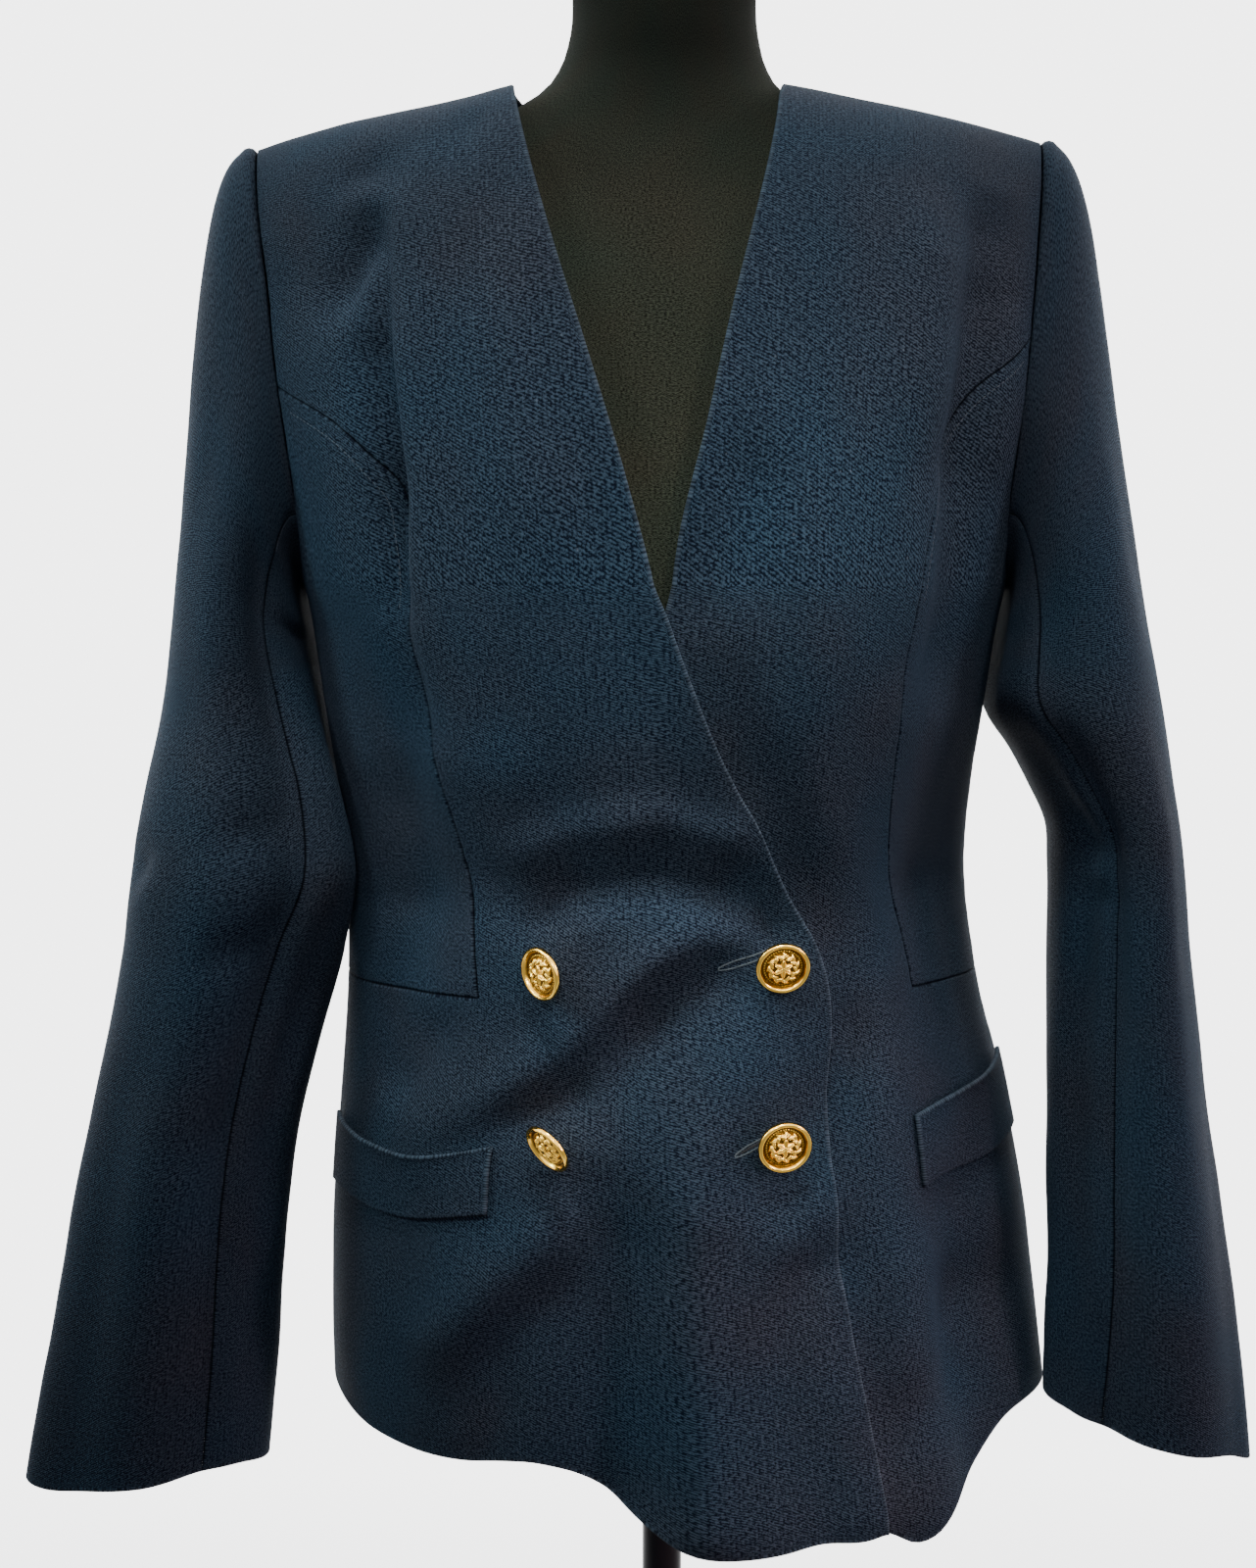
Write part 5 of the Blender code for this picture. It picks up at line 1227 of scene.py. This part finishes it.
def dress_form(finish):
    """Smooth jersey-covered torso and neck."""
    levels = [*FORM_LOWER_ROWS, *np.arange(*FORM_ROWS), *FORM_UPPER_ROWS]
    bottom, top = levels[0], levels[-1]
    angles = full_turn(FORM_SEGMENTS)
    c, s = np.cos(angles), np.sin(angles)
    rings = []
    for level in levels:
        power = 2 / float(FORM("squareness", level))
        trim = end_trim(level - bottom, *FORM_LOWER_END) * end_trim(top - level, *FORM_UPPER_END)
        depth = np.where(s < 0, FORM("front", level), FORM("back", level))
        x = FORM("half_width", level) * np.sign(c) * np.abs(c) ** power * trim + FORM("shift", level)
        y = depth * np.sign(s) * np.abs(s) ** power * trim
        rings.append(np.stack([x, y, np.full(FORM_SEGMENTS, level)], axis=1))
    ends = [[float(FORM("shift", level)), 0, level] for level in (bottom, top)]
    vertices = np.concatenate(rings + [ends])
    around = np.arange(FORM_SEGMENTS)
    after = (around + 1) % FORM_SEGMENTS
    faces = tube_faces(FORM_SEGMENTS, len(rings))
    last = (len(rings) - 1) * FORM_SEGMENTS
    faces += [(b, a, len(vertices) - 2) for a, b in zip(around, after)]
    faces += [(last + a, last + b, len(vertices) - 1) for a, b in zip(around, after)]
    mesh = smooth_mesh("form_jersey", vertices, faces)
    across = np.concatenate([np.tile(angles * FORM_RADIUS, len(rings)), [0, 0]])
    store(mesh, "grain", np.stack([across, vertices[:, 2], np.full(len(vertices), 3.0)], axis=1))
    piece = link("form_jersey", mesh, finish)
    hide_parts("form")


def turned(name, outline, finish, segments=128, staged=False):
    """Solid turned about Z, from an outline of (radius, height) from bottom centre to top centre."""
    angles = full_turn(segments)
    inner = outline[1:-1]
    vertices = [[0, 0, outline[0][1]]]
    for radius, height in inner:
        vertices += circle(radius, height, angles).tolist()
    vertices.append([0, 0, outline[-1][1]])
    around = np.arange(segments)
    after = (around + 1) % segments
    faces = [(0, 1 + b, 1 + a) for a, b in zip(around, after)]
    faces += tube_faces(segments, len(inner), first=1)
    last = 1 + (len(inner) - 1) * segments
    faces += [(last + a, last + b, len(vertices) - 1) for a, b in zip(around, after)]
    mesh = smooth_mesh(name, vertices, faces)
    mesh.set_sharp_from_angle(angle=math.radians(35))
    return link(name, mesh, finish, staged)


def rounded(corners, radius, steps=5):
    """Outline with each inner corner rounded by an arc-like curve."""
    points = [np.array(corner, float) for corner in corners]
    out = [points[0]]
    for before, at, after in zip(points, points[1:], points[2:]):
        reach = min(radius, np.linalg.norm(at - before) / 2.2, np.linalg.norm(after - at) / 2.2)
        start, end = at + unit(before - at) * reach, at + unit(after - at) * reach
        for t in np.linspace(0, 1, steps):
            out.append((1 - t) ** 2 * start + 2 * t * (1 - t) * at + t * t * end)
    out.append(points[-1])
    return [tuple(point) for point in out]


def stand(finish):
    hub_top = 26.0
    base = ((0, 0), (BASE_RADIUS, 0), (BASE_RADIUS, 8), (24, 10), (18, 13), (17, hub_top), (0, hub_top))
    plate = turned("base_plate", rounded(base, 1.6), finish)
    flange, top = 3.0, FORM_BOTTOM - 0.35
    pole = ((0, hub_top + 0.35), (POLE_RADIUS, hub_top + 0.35), (POLE_RADIUS, top - flange - 14),
            (14, top - flange - 12), (14, top - flange), (42, top - flange), (42, top), (0, top))
    tube = turned("pole_tube", rounded(pole, 0.8), finish)
    for piece, node in ((plate, "stand_base"), (tube, "stand_pole")):
        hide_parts(node)


# ---- Materials ----

class Value:
    """A socket of a material's nodes; expressions on values add their Math nodes."""

    def __init__(self, graph, socket):
        self.graph, self.socket = graph, socket

    def maths(self, operation, *others, swap=False):
        operands = (self,) + others
        if swap:
            operands = operands[::-1]
        return self.graph.node("ShaderNodeMath", {"operation": operation}, dict(enumerate(operands)))

    def __add__(self, other):
        return self.maths("ADD", other)

    def __sub__(self, other):
        return self.maths("SUBTRACT", other)

    def __rsub__(self, other):
        return self.maths("SUBTRACT", other, swap=True)

    def __mul__(self, other):
        return self.maths("MULTIPLY", other)

    __radd__, __rmul__ = __add__, __mul__

    def sine(self):
        return self.maths("SINE")

    def clamp(self, low=0.0, high=1.0):
        return self.maths("MAXIMUM", low).maths("MINIMUM", high)


class Finish:
    """A procedural material on one Principled shader."""

    def __init__(self, name, **constants):
        self.material = bpy.data.materials.new(name)
        self.material.use_nodes = True
        self.tree = self.material.node_tree
        self.shader = self.tree.nodes["Principled BSDF"]
        for socket, value in constants.items():
            self.shader.inputs[socket.replace("_", " ")].default_value = value

    def node(self, kind, settings=None, sockets=None, output=0):
        """New node of this kind: its settings first, then the values or links of its sockets."""
        made = self.tree.nodes.new(kind)
        for key, value in (settings or {}).items():
            setattr(made, key, value)
        for key, value in (sockets or {}).items():
            self.join(made.inputs[key], value)
        return Value(self, made.outputs[output])

    def join(self, socket, value):
        if isinstance(value, Value):
            self.tree.links.new(value.socket, socket)
        else:
            socket.default_value = value

    def set(self, socket, value):
        self.join(self.shader.inputs[socket], value)

    def attribute(self, name, output="Vector"):
        return self.node("ShaderNodeAttribute", {"attribute_name": name}, output=output)

    def stretched(self, vector, scale, shift=(0, 0, 0)):
        sockets = {0: vector, 1: scale, 2: shift}
        return self.node("ShaderNodeVectorMath", {"operation": "MULTIPLY_ADD"}, sockets)

    def noise(self, vector, scale, detail=2.0, roughness=0.5, shift=(0, 0, 0)):
        return self.node("ShaderNodeTexNoise", {}, {
            "Vector": self.stretched(vector, scale, shift), "Scale": 1.0, "Detail": detail,
            "Roughness": roughness})

    def part(self, vector, axis):
        return self.node("ShaderNodeSeparateXYZ", {}, {0: vector}, output=axis)

    def mix(self, factor, first, second):
        return self.node("ShaderNodeMix", {"data_type": "RGBA"}, {0: factor, 6: first, 7: second}, output=2)

    def bump(self, height, distance, strength=1.0):
        self.set("Normal", self.node("ShaderNodeBump", {}, {
            "Strength": strength, "Distance": distance, "Height": height}))


def colour(red, green, blue):
    return (red, green, blue, 1.0)


def wool_finish():
    """Navy worsted twill: slanted floats in fine columns, slubs, a few pale fibres and a cast of slate, with
    painted shade in the seams and wear with a painted sheen on the free edges.
    """
    made = Finish("navy_wool", Specular_IOR_Level=0.03, Sheen_Weight=0.03,
                  Sheen_Roughness=0.4, Sheen_Tint=colour(0.35, 0.52, 0.75))
    grain = made.attribute("grain")
    across, along = made.part(grain, 0), made.part(grain, 1)
    wobble = made.noise(grain, (0.10, 0.08, 1), 2.0)
    floats = (along * 5.2 + across * 2.7 + wobble * 14.0).sine() * 0.5 + 0.5
    columns = (across * 4.6 + wobble * 6.0).sine() * 0.5 + 0.5
    slub = ((made.noise(grain, (0.42, 0.12, 1), 1.0, 0.5, (3, 11, 0)) - 0.56) * 5.0).clamp()
    pebble = made.noise(grain, (0.72, 0.88, 1), 2.0, 0.8, (5, 17, 0))
    yarn = made.noise(grain, (0.8, 0.1, 1), 2.0, 0.6, (17, 3, 0))
    fibre = ((made.noise(grain, (0.7, 0.5, 1), 0.0, 0.5, (41, 23, 0)) - 0.83) * 16.0).clamp()
    cast = ((made.noise(grain, (0.012, 0.009, 0.3), 2.0, 0.6) - 0.3) * 2.4).clamp()
    weave = floats * (columns * 0.45 + 0.55)
    tone = (weave * 0.9 + pebble * 4.6 + yarn * 0.2 + slub * weave * 0.35 - 2.36).clamp(0.0, 1.7)
    dark = made.mix(cast, colour(0.0016, 0.0046, 0.0115), colour(0.0034, 0.0044, 0.0088))
    light = made.mix(cast, colour(0.0330, 0.0610, 0.0880), colour(0.0480, 0.0560, 0.0720))
    base = made.mix(tone, dark, light)
    base = made.mix(fibre * 0.5, base, colour(0.10, 0.12, 0.14))
    # The seam value carries painted shade in the seams as they sink (above 0) and wear with a painted sheen on
    # the free folds (below 0).
    seam = made.attribute("seam", "Fac")
    edge_wear_and_sheen = (seam * -1.0).clamp() * (weave * 0.5 + 0.12)
    base = made.mix(edge_wear_and_sheen, base, colour(0.075, 0.100, 0.120))
    # Painted shade: the seams are mixed toward near black.
    made.set("Base Color", made.mix(seam.clamp() * 0.9, base, colour(0.0010, 0.0014, 0.0030)))
    made.set("Roughness", (yarn * 0.2 + 0.68).clamp())
    made.bump(weave * 0.6 + pebble, 0.00022, 1.0)
    return made.material


def jersey_finish():
    """Black knitted cover, a little lighter on the chest than up the neck: fine wales and courses."""
    made = Finish("black_jersey", Roughness=0.92, Specular_IOR_Level=0.03, Sheen_Weight=0.03,
                  Sheen_Roughness=0.6, Sheen_Tint=colour(0.7, 0.75, 0.65))
    grain = made.attribute("grain")
    across, along = made.part(grain, 0), made.part(grain, 1)
    loops = (across * 5.2).sine() * (along * 6.4).sine() * 0.5 + 0.5
    fuzz = made.noise(grain, (1.3, 1.3, 1), 1.0, 0.6)
    cloud = ((made.noise(grain, (0.02, 0.016, 1), 2.0) - 0.3) * 2.2).clamp()
    tone = (fuzz * 2.6 + loops * 0.25 - 0.95).clamp()
    # The knit's light share is cut to 0.6 up the neck.
    lighter_on_chest = ((1410.0 - along) * 0.02).clamp() * 0.4 + 0.6
    dark = made.mix(cloud, colour(0.0050, 0.0066, 0.0044), colour(0.0070, 0.0060, 0.0038))
    light = made.mix(cloud, colour(0.0420, 0.0500, 0.0340), colour(0.0530, 0.0490, 0.0320))
    made.set("Base Color", made.mix(tone * lighter_on_chest, dark, light))
    made.bump(loops * 0.4 + fuzz, 0.00025, 0.9)
    return made.material


def gold_finish():
    """Warm gold plate: polished where raised, duller and painted with brown shade in the recesses, on the back
    and on the shank.
    """
    made = Finish("gold_plate", Metallic=1.0)
    recess = made.attribute("recess", "Fac")
    place = made.node("ShaderNodeTexCoord", output="Object")
    wear = made.noise(place, (700, 700, 700), 3.0, 0.6)
    # Painted brown shade in the recesses, on the back and on the shank, broken up by the wear noise.
    painted_shade = (recess * (wear * 0.8 + 0.6)).clamp()
    warm = made.mix(wear, colour(1.0, 0.64, 0.12), colour(0.97, 0.53, 0.06))
    made.set("Base Color", made.mix(painted_shade, warm, colour(0.10, 0.040, 0.003)))
    made.set("Roughness", (wear * 0.12 + 0.10 + painted_shade * 0.22).clamp())
    made.bump(wear, 0.00014, 0.6)
    return made.material


def enamel_finish():
    """Black enamel with a faint orange peel."""
    made = Finish("black_enamel", Specular_IOR_Level=0.05)
    place = made.node("ShaderNodeTexCoord", output="Object")
    peel = made.noise(place, (420, 420, 420), 2.0)
    dust = made.noise(place, (60, 60, 25), 3.0)
    made.set("Base Color", made.mix(dust, colour(0.016, 0.014, 0.016), colour(0.028, 0.025, 0.027)))
    made.set("Roughness", (dust * 0.16 + 0.26).clamp())
    made.bump(peel, 0.0001, 0.25)
    return made.material


def thread_finish(name, dark, light):
    """Twisted sewing thread."""
    made = Finish(name, Roughness=0.6, Specular_IOR_Level=0.3, Sheen_Weight=0.2)
    place = made.node("ShaderNodeTexCoord", output="Object")
    twist = made.noise(place, (2600, 2600, 2600), 2.0)
    made.set("Base Color", made.mix(twist, dark, light))
    made.bump(twist, 0.0001, 0.6)
    return made.material


def backdrop_finish():
    """Seamless paper that glows white behind the jacket and dim before it, which gives the gold contrast."""
    made = Finish("pale_backdrop", Roughness=0.9, Specular_IOR_Level=0.0, Emission_Strength=BACKDROP_GLOW)
    place = made.node("ShaderNodeTexCoord", output="Object")
    cloud = made.noise(place, (0.7, 0.7, 0.7), 2.0)
    made.set("Base Color", made.mix(cloud, colour(0.80, 0.80, 0.80), colour(0.84, 0.84, 0.84)))
    toward_front = (made.part(place, 1) * -0.4 + 0.7).clamp()
    paper = made.mix(cloud, colour(0.97, 0.97, 0.97), colour(1.0, 1.0, 1.0))
    above = (made.part(place, 2) * 0.6 - 1.1).clamp()
    dim = made.mix(above, colour(0.09, 0.09, 0.09), colour(0.6, 0.6, 0.6))
    made.set("Emission Color", made.mix(toward_front, paper, dim))
    return made.material


# ---- Studio ----

CAMERA_PLACE = (-0.018, -1.25, 1.17)
CAMERA_DOWN = 5.642                      # degrees
CAMERA_LENS = 55.98                      # for 36 mm along the tall side of the frame

BACKDROP_GLOW = 4.5
BACKDROP_RADIUS, BACKDROP_COVE, BACKDROP_HEIGHT = 12.0, 4.0, 9.0
AMBIENT = 0.05                           # strength of the even light from all round
AMBIENT_TINT = (0.08, 0.28, 1.0, 1.0)

# Lamps: place and the point it looks at, in metres, side of its square, power, spread in degrees, colour.
LAMPS = (
    ("key", (-0.04, -0.70, 2.9), (0.0, -0.1, 1.06), 0.3, 1.75, 42, (0.93, 0.98, 1.0)),
    ("front", (-0.1, -1.7, 1.75), (-0.01, -0.1, 1.06), 0.3, 0.22, 16, (0.95, 0.98, 1.0)),
    ("chest", (-1.2, -1.0, 2.4), (-0.08, -0.1, 1.12), 0.3, 0.22, 18, (0.88, 0.96, 1.0)),
    ("chest_left", (0.9, -1.2, 2.2), (0.085, -0.1, 1.16), 0.2, 0.12, 10, (1.0, 0.82, 0.76)),
    ("side_left", (-1.9, -0.5, 1.9), (-0.22, -0.05, 1.1), 0.4, 0.95, 34, (0.58, 0.92, 1.0)),
    ("side_right", (1.9, -0.5, 1.9), (0.22, -0.05, 1.1), 0.4, 0.82, 34, (0.92, 0.80, 0.90)),
    ("skirt_right", (1.5, -0.95, 0.95), (0.075, -0.1, 0.77), 0.3, 0.17, 12, (1.0, 0.66, 0.70)),
    ("skirt_front", (0.3, -1.4, 1.9), (0.075, -0.12, 0.77), 0.25, 0.10, 10, (1.0, 0.86, 0.86)),
    ("back", (0.8, 2.1, 1.5), (0.0, 0.1, 1.1), 0.5, 0.9, 26, (0.92, 0.97, 1.0)),
)


def studio():
    """Seamless floor and backdrop, soft lamps from the front, both sides and behind, and the camera."""
    quarter = blend(0.0, math.pi / 2, 12)
    outline = [(0.0, 0.0)]
    for angle in quarter:
        radius = BACKDROP_RADIUS - BACKDROP_COVE * (1 - math.sin(angle))
        outline.append((radius, BACKDROP_COVE * (1 - math.cos(angle))))
    for angle in quarter[1:]:
        outline.append((BACKDROP_RADIUS * math.cos(angle), BACKDROP_COVE + BACKDROP_HEIGHT * math.sin(angle)))
    backdrop = turned("backdrop", [(r / MM, z / MM) for r, z in outline], backdrop_finish(), 64, staged=True)
    backdrop.visible_diffuse = backdrop.visible_shadow = False

    world = bpy.data.worlds.new("studio")
    world.use_nodes = True
    sky = world.node_tree.nodes["Background"]
    sky.inputs["Color"].default_value = AMBIENT_TINT
    sky.inputs["Strength"].default_value = AMBIENT
    bpy.context.scene.world = world

    for name, place, target, width, power, spread, tint in LAMPS:
        data = bpy.data.lights.new(name, "AREA")
        data.shape, data.size, data.energy, data.color = "SQUARE", width, power, tint
        data.spread = math.radians(spread)
        lamp = bpy.data.objects.new(name, data)
        lamp.location = place
        lamp.rotation_euler = (Vector(target) - Vector(place)).to_track_quat("-Z", "Y").to_euler()
        lamp.visible_camera = False
        bpy.context.scene.collection.objects.link(lamp)

    data = bpy.data.cameras.new("camera")
    data.lens, data.sensor_width, data.sensor_fit = CAMERA_LENS, 36.0, "AUTO"
    data.clip_start, data.clip_end = 0.05, 100.0
    camera = bpy.data.objects.new("camera", data)
    camera.location = CAMERA_PLACE
    camera.rotation_euler = (math.radians(90 - CAMERA_DOWN), 0, 0)
    bpy.context.scene.collection.objects.link(camera)
    bpy.context.scene.camera = camera


def main():
    studio()
    wool = wool_finish()
    gold = gold_finish()
    enamel = enamel_finish()
    navy_thread = thread_finish("navy_thread", colour(0.010, 0.015, 0.022), colour(0.045, 0.060, 0.075))
    hole_thread = thread_finish("slate_thread", colour(0.020, 0.032, 0.040), colour(0.125, 0.165, 0.180))
    slit_shadow_finish = thread_finish("slit_shadow", colour(0.001, 0.001, 0.002), colour(0.002, 0.003, 0.004))
    for side, suffix in SIDES:
        front_panel(side, "front_" + suffix, wool)
        side_front(side, "side_front_" + suffix, wool)
        back_panel(side, "back_" + suffix, wool)
        sleeve_panel(side, FRONT_SEAM, BACK_SEAM, UPPER_COLUMNS, "sleeve_upper_" + suffix, wool,
                     SEEDS["upper"] * side)
        sleeve_panel(side, BACK_SEAM, FRONT_SEAM + 360, UNDER_COLUMNS, "sleeve_under_" + suffix, wool,
                     SEEDS["under"] * side)
        pocket_welt(side, "pocket_welt_" + suffix, wool)
    for row in BUTTONS:
        button(row, gold)
    for row in BUTTONHOLES:
        buttonhole(row, hole_thread, slit_shadow_finish)
    stitch_row("princess_stitches_right", beside_princess(RIGHT, 0.70, 0.985, 7.0), navy_thread)
    stitch_row("princess_stitches_left", beside_princess(LEFT, 0.72, 0.985, 5.5), navy_thread)
    dress_form(jersey_finish())
    stand(enamel)


main()
